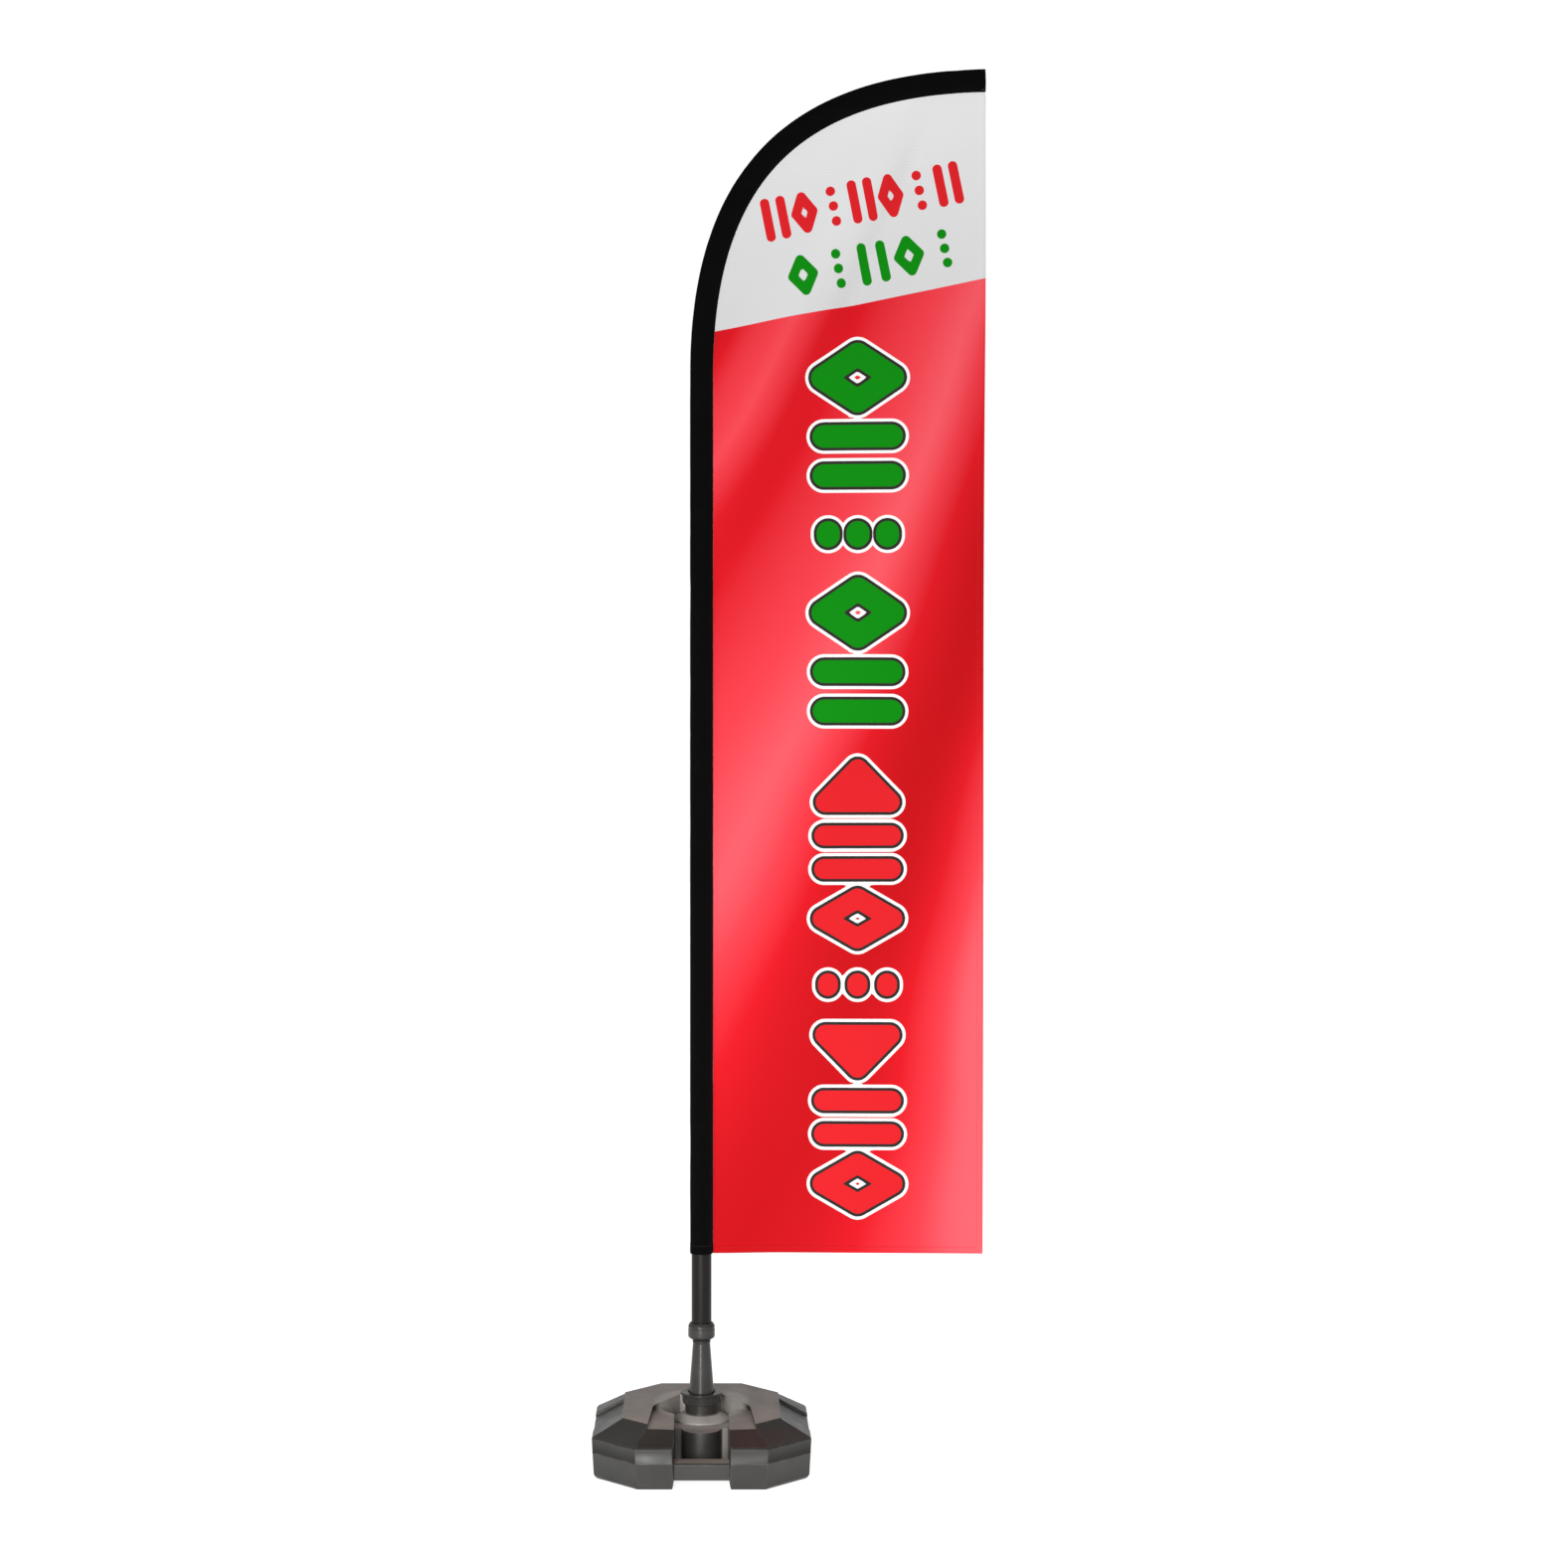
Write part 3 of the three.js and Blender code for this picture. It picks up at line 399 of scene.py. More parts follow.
tapered_post = turned("tapered_post", [
    (14, 12.3, 0.5), (22.1, 12.3, 1.5), (22.1, 132.3, 0.3), (31, 132.3, 0.8), (31, 136.5, 1.2), (25.5, 136.5, 0.8),
    (24.9, 144, 2), (17.8, 235, 6), (17.4, 240, 1), (18.2, 241.5, 0.6), (18.2, 243.6, 0.6), (17.2, 245, 0.5),
    (13, 245, 0.3), (13, 251.4, 0.5), (7.35, 251.4, 0.3), (7.35, 31.8, 0.3), (14, 31.8, 0.5)], sides=96)
fitted(tapered_post, "base", "post_plastic", injected, "post")

# ---------------------------------------------------------------- lock ring and its slip washer
# The lock ring screws down over the neck and clamps the post's foot flange, with a nylon slip washer between them.
# It is injection moulded like the post, with a broad flange to push on and ribs under it to grip.

lock_ring = turned("lock_ring_body", [
    (27.6, 138.6, 0.3), (33.4, 138.6, 0.5), (33.4, 119.6, 0.4), (36.6, 119.6, 0.4), (37.5, 121.6, 0.5),
    (37.5, 137.7, 1.0), (42.2, 137.7, 0.5), (43, 138.9, 0.8), (43, 141.2, 0.9), (41.6, 142.2, 0.8),
    (31.5, 142.2, 0.5), (30.6, 141.5, 0.5), (27.6, 141.5, 0.5)], sides=96)
fitted(lock_ring, "lock_ring", "post_plastic", injected, "lock_ring")
ring_ribs = grown("lock_ring_ribs", ribs, {"Radius": 37.3 * MM, "Count": 44, "Rib": 1.15 * MM, "Height": 15 * MM,
                                           "Middle": (0, 0, 129.6 * MM), "Material": injected})
fitted(ring_ribs, "lock_ring", "post_plastic", injected)

# Turned nylon: milky, slightly waxy, with the fine rings that the tool leaves, 0.2 mm apart, drawn at 1 mm.
turned_nylon, tree, shader = start_material("turned_nylon")
spot = add(tree, "ShaderNodeTexCoord").outputs["Object"]
shade = add(tree, "ShaderNodeMix", {0: drifting(tree, spot, 60), 6: "#DCD7C8", 7: "#E8E4D8"}, data_type="RGBA")
tool_rings = add(tree, "ShaderNodeTexWave", {"Vector": spot, "Scale": 160, "Distortion": 0.4},
                 wave_type="BANDS", bands_direction="Z")
cut = add(tree, "ShaderNodeBump", {"Strength": 0.25, "Distance": 0.1 * MM, "Height": tool_rings.outputs["Fac"]})
fill(tree, shader, {"Base Color": shade, "Normal": cut, "Roughness": 0.42, "IOR": 1.53, "Subsurface Weight": 0.15,
                    "Subsurface Scale": 2 * MM})
slip_washer = turned("nylon_slip_washer", [(26.4, 136.8, 0.3), (31, 136.8, 0.3), (31, 138.3, 0.3),
                                           (26.4, 138.3, 0.3)])
fitted(slip_washer, "ring_washer", "bearing_nylon", turned_nylon, "slip_washer")

# ---------------------------------------------------------------- collar cup
# A moulded cup glued on the post's spigot. The pole's foot turns inside it, so that rain and sand stay out of the
# bearing. Its lower edge is coned, its mouth is chamfered and a shallow groove runs under the mouth.

collar = turned("collar_cup_body", [
    (13.3, 245.3, 0.3), (18.6, 245.3, 1), (19.4, 247.2, 1.2), (26.4, 251.8, 2), (27, 254, 1.5), (27, 268.5, 0.8),
    (26.3, 269.5, 0.5), (26.3, 271, 0.5), (27, 272, 0.8), (26.6, 275, 1.5), (23.6, 280.6, 1.2), (20.6, 281, 0.5),
    (20.6, 252, 0.3), (13.3, 252, 0.3)], sides=96)
fitted(collar, "base", "post_plastic", injected, "collar_cup")

# ---------------------------------------------------------------- spindle, nut and washers
# A turned steel spindle, zinc plated, is drawn down into the post by a nut and washer in a pocket under it. The
# pole's weight rests on its shoulder through the swivel bush, and a nylon washer lies in the cup round it.

# Zinc-plated steel: pale bluish grey, drawn lengthwise by the lathe and the wear of the bush on it.
zinc_plate, tree, shader = start_material("zinc_plated_steel")
spot = add(tree, "ShaderNodeTexCoord").outputs["Object"]
lathe_stretch = add(tree, "ShaderNodeMapping", {"Vector": spot, "Scale": (1, 1, 12)})
lathe = add(tree, "ShaderNodeTexNoise", {"Vector": lathe_stretch, "Scale": 90, "Detail": 3})
shade = add(tree, "ShaderNodeMix", {0: drifting(tree, spot, 30), 6: "#A9ADB2", 7: "#C3C6C9"}, data_type="RGBA")
roughness = add(tree, "ShaderNodeMapRange", {0: lathe, 1: 0.3, 2: 0.7, 3: 0.26, 4: 0.42})
marks = add(tree, "ShaderNodeBump", {"Strength": 0.2, "Distance": 0.05 * MM, "Height": lathe})
fill(tree, shader, {"Base Color": shade, "Roughness": roughness, "Metallic": 1.0, "Normal": marks})
spindle = turned("swivel_spindle", [
    (0, 16, 0), (6, 16, 0.2), (7, 17, 0.3), (7, 252.3, 0.2), (10.5, 252.3, 0.4), (10.5, 255, 0.6), (7, 255, 0.2),
    (7, 517, 1), (4, 520, 0.8), (0, 520, 0)], sides=48)
fitted(spindle, "base", "steel", zinc_plate, "spindle")
thrust_washer = turned("nylon_thrust_washer", [(10.9, 252.3, 0.3), (20, 252.3, 0.4), (20, 254.9, 0.4),
                                               (10.9, 254.9, 0.3)])
fitted(thrust_washer, "base", "bearing_nylon", turned_nylon, "thrust_washer")
for node in ("spindle_washer", "spindle_nut"):
    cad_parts[node].data.materials.clear()
    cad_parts[node].data.materials.append(zinc_plate)

# ---------------------------------------------------------------- bushes
# Two nylon bushes run on the spindle: the swivel bush, flanged under the pole's foot, and the guide bush that stays
# in the tube near the spindle's end.

swivel_bush = turned("nylon_swivel_bush", [
    (7.35, 255.3, 0.4), (20, 255.3, 0.5), (20, 258.3, 0.5), (17.7, 258.3, 0.3), (17.7, 325.3, 1), (15.7, 327.3, 0.5),
    (7.35, 327.3, 0.5)])
fitted(swivel_bush, "swivel", "bearing_nylon", turned_nylon, "swivel_bush")
guide_bush = turned("nylon_guide_bush", [(7.35, 480, 0.6), (17.7, 480, 0.8), (17.7, 505, 0.8), (7.35, 505, 0.6)])
fitted(guide_bush, "lower_pole", "bearing_nylon", turned_nylon, "guide_bush")

# ---------------------------------------------------------------- pole tubes
# Drawn aluminium tubes, black anodised: 40 mm below and 30 mm in the middle. The foot of the lower one turns in the
# collar cup and gets scratched there.

# Black anodised aluminium: satin, faintly brown, with drawing lines along the tube some 0.1 mm apart, drawn at 1 mm,
# and light handling scratches round it.
anodised, tree, shader = start_material("black_anodised_aluminium")
spot = add(tree, "ShaderNodeTexCoord").outputs["Object"]
drawn_stretch = add(tree, "ShaderNodeMapping", {"Vector": spot, "Scale": (1, 1, 0.03)})
drawn = add(tree, "ShaderNodeTexNoise", {"Vector": drawn_stretch, "Scale": 420, "Detail": 3})
handled_stretch = add(tree, "ShaderNodeMapping", {"Vector": spot, "Scale": (1, 1, 5)})
handled_noise = add(tree, "ShaderNodeTexNoise", {"Vector": handled_stretch, "Scale": 60, "Detail": 5,
                                                 "Roughness": 0.7})
handled = add(tree, "ShaderNodeMapRange", {0: handled_noise, 1: 0.66, 2: 0.74})
streaks = add(tree, "ShaderNodeMapRange", {0: drawn, 1: 0.3, 2: 0.7})
shade = add(tree, "ShaderNodeMix", {0: streaks, 6: "#0F0B0B", 7: "#191312"}, data_type="RGBA")
scratches = add(tree, "ShaderNodeMath", {0: handled, 1: 0.35}, operation="MULTIPLY")
shade = add(tree, "ShaderNodeMix", {0: scratches, 6: shade, 7: "#6A625E"}, data_type="RGBA")
roughness = add(tree, "ShaderNodeMapRange", {0: drawn, 1: 0.3, 2: 0.7, 3: 0.34, 4: 0.48})
lines = add(tree, "ShaderNodeBump", {"Strength": 0.25, "Distance": 0.08 * MM, "Height": drawn})
fill(tree, shader, {"Base Color": shade, "Metallic": 0.15, "Specular IOR Level": 0.22, "Roughness": roughness,
                    "Normal": lines})


def pole_tube(name, radius, wall, foot, top):
    return turned(name, [(radius - wall, foot, 0.4), (radius, foot, 0.5), (radius, top, 0.5),
                         (radius - wall, top, 0.4)], sides=64)


fitted(pole_tube("lower_pole_tube", 20, 2, 258.6, 1060), "lower_pole", "pole_tube", anodised, "lower_tube")
fitted(pole_tube("middle_pole_tube", 15, 1.5, 904.3, 1700), "middle_pole", "pole_tube", anodised, "middle_tube")

# ---------------------------------------------------------------- reducers and their rivets
# A moulded socket closes the top of each tube and holds the next section 156 mm deep. Two domed steel rivets
# through the tube's wall keep it there.


def reducer(name, body, tube, bore, drain, foot, top):
    return turned(name, [
        (drain, foot, 0.4), (body, foot, 0.8), (body, top - 4.7, 0.2), (tube, top - 4.7, 0.3), (tube, top, 1.4),
        (bore, top, 0.8), (bore, foot + 4, 0.4), (drain, foot + 4, 0.4)])


fitted(reducer("lower_socket", 17.7, 20, 15.35, 6.75, 900, 1065), "lower_pole", "post_plastic", injected,
       "lower_reducer")
fitted(reducer("middle_socket", 13.2, 15, 6.35, 2.7, 1540, 1705), "middle_pole", "post_plastic", injected,
       "middle_reducer")

# Each rivet is a shank with a low dome, set outwards at a point of the tube's wall.
rivets, given = node_tree("rivets", ("Head", "Float"), ("Shank", "Float"), ("Depth", "Float"),
                          ("Material", "Material"))
shank = add(rivets, "GeometryNodeMeshCylinder", {"Vertices": 12, "Radius": given["Shank"], "Depth": given["Depth"]})
dome = add(rivets, "GeometryNodeMeshUVSphere", {"Segments": 16, "Rings": 8, "Radius": given["Head"]})
low_dome = add(rivets, "GeometryNodeTransform", {"Geometry": dome, "Scale": (1, 1, 0.28)})
half_depth = add(rivets, "ShaderNodeMath", {0: given["Depth"], 1: -0.5}, operation="MULTIPLY")
inward = add(rivets, "ShaderNodeCombineXYZ", {"Z": half_depth})
sunk_shank = add(rivets, "GeometryNodeTransform", {"Geometry": shank, "Translation": inward})
whole = add(rivets, "GeometryNodeJoinGeometry")
for part in (low_dome, sunk_shank):
    rivets.links.new(part.outputs[0], whole.inputs[0])
place_of = add(rivets, "GeometryNodeInputPosition")
outward = add(rivets, "ShaderNodeVectorMath", {0: place_of, 1: (1, 1, 0)}, operation="MULTIPLY")
turn = add(rivets, "FunctionNodeAlignRotationToVector", {"Vector": outward}, axis="Z")
set_in = add(rivets, "GeometryNodeInstanceOnPoints", {"Points": given["Geometry"], "Instance": whole,
                                                      "Rotation": turn})
ended(rivets, set_in, given)

for section, radius, level in (("lower", 20.3, 1030), ("middle", 15.3, 1670)):
    pair = grown(f"{section}_rivets", rivets, {"Head": 4 * MM, "Shank": 2.2 * MM, "Depth": 3.6 * MM,
                                               "Material": zinc_plate},
                 points=[(0, -radius * MM, level * MM), (0, radius * MM, level * MM)])
    fitted(pair, f"{section}_pole", "steel", zinc_plate, f"{section}_rivet_front", f"{section}_rivet_back")

# ---------------------------------------------------------------- whip and its tip cap
# The whip is a pultruded glass fibre rod, tapered to its tip, that the sleeve bends over. It stands in the middle
# section, leans to the outside of the sleeve and pushes into the pocket at its end through a small moulded cap.

BEND = [Vector(p) * MM for p in ((0, 2185), (0, 2590), (189, 2770.62), (571, 2777.5))]


def on_bend(share, out=0.0):
    """A point of the sleeve's middle line on its bend, moved out from it, and the outward way there."""
    a, b, c, d = BEND
    rest = 1 - share
    point = a * rest ** 3 + b * 3 * rest ** 2 * share + c * 3 * rest * share ** 2 + d * share ** 3
    way = ((b - a) * rest ** 2 + (c - b) * 2 * rest * share + (d - c) * share ** 2).normalized()
    side = Vector((-way.y, way.x))
    return point + side * out, side


# Pultruded glass fibre: dark resin with pale fibres along the rod, 0.1 mm thick, drawn at 1 mm.
glass_fibre, tree, shader = start_material("pultruded_glass_fibre")
spot = add(tree, "ShaderNodeTexCoord").outputs["Object"]
fibres_stretch = add(tree, "ShaderNodeMapping", {"Vector": spot, "Scale": (1, 1, 0.02)})
fibres = add(tree, "ShaderNodeTexNoise", {"Vector": fibres_stretch, "Scale": 500, "Detail": 4, "Roughness": 0.7})
pale_fibres = add(tree, "ShaderNodeMapRange", {0: fibres, 1: 0.45, 2: 0.75})
shade = add(tree, "ShaderNodeMix", {0: pale_fibres, 6: "#1E2023", 7: "#4A4D50"}, data_type="RGBA")
roughness = add(tree, "ShaderNodeMapRange", {0: fibres, 1: 0.3, 2: 0.7, 3: 0.3, 4: 0.45})
fill(tree, shader, {"Base Color": shade, "Roughness": roughness, "IOR": 1.55})

rod, given = node_tree("rod_along_line", ("Sides", "Int"), ("Material", "Material"))
line = add(rod, "GeometryNodeMeshToCurve", {"Mesh": given["Geometry"]})
thickness = add(rod, "GeometryNodeInputNamedAttribute", {"Name": "thickness"}, data_type="FLOAT")
section = add(rod, "GeometryNodeCurvePrimitiveCircle", {"Resolution": given["Sides"], "Radius": 1.0})
drawn_out = add(rod, "GeometryNodeCurveToMesh", {"Curve": line, "Profile Curve": section,
                                                 "Scale": thickness, "Fill Caps": True})
ended(rod, drawn_out, given)

WHIP_END = 0.978
WHIP_LEAN = 12
whip_points = [(0, 0, 1544.3 * MM), (0, 0, 1760 * MM), (-1.8 * MM, 0, 1972.5 * MM), (-6 * MM, 0, 2185 * MM)]
whip_radii = [6 * MM] * 4
for k in range(1, 49):
    share = WHIP_END * k / 48
    point, side = on_bend(share, WHIP_LEAN * MM * (0.5 + 0.5 * min(1, share / 0.25)))
    whip_points.append((point.x, 0, point.y))
    whip_radii.append((6 - 2.6 * share) * MM)
whip = grown("whip_rod", rod, {"Sides": 16, "Material": glass_fibre}, points=whip_points,
             edges=[(k, k + 1) for k in range(len(whip_points) - 1)], radii=whip_radii)
fitted(whip, "flag", "fibreglass", glass_fibre, "whip")
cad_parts["tip_cap"].data.materials.clear()
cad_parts["tip_cap"].data.materials.append(injected)

# ---------------------------------------------------------------- sleeve
# The sleeve is a strip of heavy black polyester folded round the pole and sewn to the panel's edge. It hangs close
# round the tubes, flattens over the thin whip, puckers along the bend and is gathered by the elastic at its mouth.

SLEEVE_WIDE = 23.2
SLEEVE_MOUTH = 420
SLEEVE_BEND = 2185
SLEEVE_THIN = 8.9
SLEEVE_RUN = [(SLEEVE_MOUTH, SLEEVE_WIDE), (1109.7, SLEEVE_WIDE), (1199.7, 18.2), (1749.7, 18.2),
              (1884.7, SLEEVE_THIN), (SLEEVE_BEND, SLEEVE_THIN)]


def sleeve_station(run):
    """Where the sleeve's middle line is after this many mm of its length from the mouth, and half its thickness."""
    straight = SLEEVE_BEND - SLEEVE_MOUTH
    if run <= straight:
        level = SLEEVE_MOUTH + run
        thick = float(np.interp(level, *zip(*SLEEVE_RUN)))
        return Vector((0, level * MM)), Vector((-1, 0)), thick, 0.0
    share = float(np.interp(run - straight, BEND_RUN, BEND_SHARE))
    point, side = on_bend(share)
    return point, side, SLEEVE_THIN - 0.6 * share, share


BEND_SHARE = np.linspace(0, 1, 401)
bend_line = np.array([on_bend(s)[0] for s in BEND_SHARE]) / MM
BEND_RUN = np.concatenate([[0], np.cumsum(np.linalg.norm(np.diff(bend_line, axis=0), axis=1))])
SLEEVE_LENGTH = SLEEVE_BEND - SLEEVE_MOUTH + BEND_RUN[-1]


def sleeve_point(run, turn, proud=0.0):
    """A point of the cloth: turn 0 is at the panel's seam, a quarter turn is the back, half a turn the outer edge."""
    middle, side, thick, share = sleeve_station(run)
    from_seam = min(turn, 2 * math.pi - turn)
    pinch = 1 - 0.5 * math.exp(-((from_seam / 0.38) ** 2))
    around = Vector((math.cos(turn) * 1.6, math.sin(turn) * 1.6, run * 0.011))
    slack = 1.0 * max(0.0, noise.noise(around)) + 0.5 * max(0.0, noise.noise(around * 3.1))
    pucker = 0.45 * (1 + math.sin(run * 0.42 + 2 * noise.noise(around))) * math.exp(-((from_seam / 0.9) ** 2))
    gather = 0.5 * (1 + math.cos(turn * 15)) * math.exp(-(((run - 18) / 11) ** 2))
    inward = (slack + pucker * min(1.0, share * 5) + gather) * min(1.0, from_seam / 0.3)
    out = -(SLEEVE_WIDE - inward + proud) * math.cos(turn)
    deep = (thick - inward + proud) * pinch * math.sin(turn)
    spot = middle + side * out * MM
    return (spot.x, deep * MM, spot.y)


def cloth_mesh(name, rows, closed_round, uv_of):
    """A grid of cloth from rows of points, with a UV map in metres."""
    count = len(rows[0])
    mesh = bpy.data.meshes.new(name)
    around = count if closed_round else count - 1
    faces = [(i * count + k, i * count + (k + 1) % count, (i + 1) * count + (k + 1) % count, (i + 1) * count + k)
             for i in range(len(rows) - 1) for k in range(around)]
    mesh.from_pydata([p for row in rows for p in row], [], faces)
    cut = mesh.uv_layers.new(name="cut")
    for loop in mesh.loops:
        row, k = divmod(loop.vertex_index, count)
        cut.data[loop.index].uv = uv_of(row, k)
    return mesh


# Heavy polyester, plain weave: near black with a faint nap. Its 0.4 mm threads are drawn 2.5 mm apart so that they
# show, with slubs along both threads and a slight fading in soft patches.
black_polyester, tree, shader = start_material("woven_black_polyester")
cut = add(tree, "ShaderNodeUVMap", uv_map="cut")
warp = add(tree, "ShaderNodeTexWave", {"Vector": cut, "Scale": 62, "Distortion": 0.6, "Detail": 1.0},
           bands_direction="X")
weft = add(tree, "ShaderNodeTexWave", {"Vector": cut, "Scale": 62, "Distortion": 0.6, "Detail": 1.0},
           bands_direction="Y")
woven = add(tree, "ShaderNodeMath", {0: warp.outputs["Fac"], 1: weft.outputs["Fac"]}, operation="MAXIMUM")
faded_noise = add(tree, "ShaderNodeTexNoise", {"Vector": cut, "Scale": 22, "Detail": 3})
faded = add(tree, "ShaderNodeMapRange", {0: faded_noise, 1: 0.45, 2: 0.8})
yarns = add(tree, "ShaderNodeMapRange", {0: woven, 1: 0, 2: 1})
shade = add(tree, "ShaderNodeMix", {0: yarns, 6: "#010101", 7: "#050405"}, data_type="RGBA")
fading = add(tree, "ShaderNodeMath", {0: faded, 1: 0.4}, operation="MULTIPLY")
shade = add(tree, "ShaderNodeMix", {0: fading, 6: shade, 7: "#0A090A"}, data_type="RGBA")
weave = add(tree, "ShaderNodeBump", {"Strength": 0.4, "Distance": 0.25 * MM, "Height": woven})
fill(tree, shader, {"Base Color": shade, "Roughness": 0.92, "Specular IOR Level": 0.07, "Sheen Weight": 0.01,
                    "Normal": weave})

SLEEVE_ROWS, SLEEVE_SIDES = 330, 56
SLEEVE_ROUND = 0.147


def sleeve_layer(name, runs, proud):
    """A tube of the sleeve's cloth with a ring of points at each run, standing proud of the sleeve by run."""
    turns = [2 * math.pi * k / SLEEVE_SIDES for k in range(SLEEVE_SIDES)]
    rows = [[sleeve_point(run, turn, proud(run)) for turn in turns] for run in runs]
    return place(name, cloth_mesh(name, rows, True, lambda row, k: (
        min(k, SLEEVE_SIDES - k) / SLEEVE_SIDES * SLEEVE_ROUND, runs[row] * MM)))


sleeve = sleeve_layer("pole_sleeve_cloth", np.linspace(0, SLEEVE_LENGTH, SLEEVE_ROWS), lambda run: 0.0)
wall = sleeve.modifiers.new("cloth", "SOLIDIFY")
wall.thickness = 0.7 * MM
wall.offset = -1
fitted(smoothed(sleeve, 60), "flag", "sleeve_cloth", black_polyester, "pole_sleeve")

# Turned-in hem at the sleeve's mouth, a second layer of the same cloth inside it.
mouth_hem = sleeve_layer("sleeve_mouth_hem", np.linspace(1.5, 22, 8), lambda run: 0.35 if 1.6 < run < 21.9 else 0.05)
fitted(smoothed(mouth_hem, 60), "flag", "sleeve_cloth", black_polyester)

# ---------------------------------------------------------------- elastic and tip pocket
# A band of ribbed elastic inside the sleeve's mouth grips the tube. A folded piece of webbing closes the sleeve's
# other end, where the whip pushes against it.

# Knitted elastic: black, ribbed along its length every 2 mm.
elastic_knit, tree, shader = start_material("ribbed_elastic")
spot = add(tree, "ShaderNodeTexCoord")
ribbing = add(tree, "ShaderNodeTexWave", {"Vector": spot.outputs["Object"], "Scale": 80, "Distortion": 0.3},
              bands_direction="Z")
shade = add(tree, "ShaderNodeMix", {0: ribbing.outputs["Fac"], 6: "#0A0A0A", 7: "#1B1A1A"}, data_type="RGBA")
ribbed = add(tree, "ShaderNodeBump", {"Strength": 0.6, "Distance": 0.4 * MM, "Height": ribbing.outputs["Fac"]})
fill(tree, shader, {"Base Color": shade, "Roughness": 0.85, "Normal": ribbed})
elastic = turned("sleeve_elastic_band", [(20.4, 426, 0.4), (21.5, 426, 0.4), (21.5, 450, 0.4), (20.4, 450, 0.4)])
fitted(elastic, "flag", "sleeve_cloth", elastic_knit, "sleeve_elastic")

# Woven webbing: black, with the coarse herringbone of a strap 1.2 mm thick.
webbing, tree, shader = start_material("woven_webbing")
spot = add(tree, "ShaderNodeTexCoord")
herringbone = add(tree, "ShaderNodeTexWave", {"Vector": spot.outputs["Object"], "Scale": 110, "Distortion": 1.2,
                                              "Detail": 2.0}, bands_direction="DIAGONAL")
shade = add(tree, "ShaderNodeMix", {0: herringbone.outputs["Fac"], 6: "#060606", 7: "#161616"}, data_type="RGBA")
twill = add(tree, "ShaderNodeBump", {"Strength": 0.6, "Distance": 0.3 * MM, "Height": herringbone.outputs["Fac"]})
fill(tree, shader, {"Base Color": shade, "Roughness": 0.88, "Normal": twill})

POCKET_WIDE = 20.6
tip, tip_side = on_bend(1)
fold = [(-9.6, -5.2), (-5, -5.6), (-1.6, -4.8), (-0.7, -2.4), (-0.7, 2.4), (-1.6, 4.8), (-5, 5.6), (-9.6, 5.2)]
pocket_rows = []
for across in np.linspace(-1, 1, 9):
    narrow = 1 - 0.3 * across ** 2
    centre = tip + tip_side * across * POCKET_WIDE * MM
    pocket_rows.append([(centre.x + back * MM, deep * narrow * MM, centre.y) for back, deep in fold])
tip_pocket = place("tip_pocket_webbing", cloth_mesh(
    "tip_pocket_webbing", pocket_rows, False, lambda row, k: (k * 4 * MM, row * 5 * MM)))
strap = tip_pocket.modifiers.new("strap", "SOLIDIFY")
strap.thickness = 1.0 * MM
strap.offset = 0
fitted(smoothed(tip_pocket, 60), "flag", "sleeve_cloth", webbing, "tip_pocket")

# ---------------------------------------------------------------- flag panel
# The panel is one piece of warp-knitted polyester, printed right through: a white head and a red field with rows of
# plain geometric shapes. It is sewn into the sleeve along its pole side and hangs in long slanting folds.

FOOT, SEAM_X, FLY_TOP_X, FLY_TAPER = 420.0, 23.3, 571.0, 7.0
FOLD_LEAN = 2.4
FOLD_STEPS = [-780, -490, -345, 5, 272, 560, 900]
FOLD_DEPTH = 9.0

edge_shares = np.linspace(0, 1, 200)[1:]
seam_bend = np.array([on_bend(s, -SEAM_X * MM)[0] for s in edge_shares]) / MM
seam_line = np.concatenate([[[SEAM_X, FOOT], [SEAM_X, SLEEVE_BEND]], seam_bend])


def fly_x(level):
    return FLY_TOP_X - FLY_TAPER + FLY_TAPER * (level - FOOT) / (2754 - FOOT)


def across_folds(x, level):
    """How far a point lies across the folds, which slant and bend a little."""
    right, up = (x - 300) / 250, (level - 1400) / 900
    straight = (FOLD_LEAN * x - (level - 1000)) / math.hypot(FOLD_LEAN, 1)
    return straight + 15 * right ** 2 + (110 * right - 120 * up) * up


def from_line(x, level, line):
    """Shortest distance of each point to a line of points."""
    best = np.full(x.shape, 1e9)
    for (ax, az), (bx, bz) in zip(line[:-1], line[1:]):
        dx, dz = bx - ax, bz - az
        share = np.clip(((x - ax) * dx + (level - az) * dz) / max(dx * dx + dz * dz, 1e-9), 0, 1)
        best = np.minimum(best, np.hypot(x - ax - share * dx, level - az - share * dz))
    return best


def hang(x, level):
    """How far the cloth swings out of its plane: slanting folds that die out towards the seam."""
    crossing = across_folds(x, level)
    phase = np.interp(crossing, FOLD_STEPS, [math.pi * k for k in range(-3, 4)])
    ripple = np.cos(phase) + 0.16 * np.cos(2.7 * phase + level * 0.0023 + 0.7)
    free = np.clip(from_line(x, level, seam_line[::4]) / 150, 0, 1)
    return -FOLD_DEPTH * ripple * free * free * (3 - 2 * free)


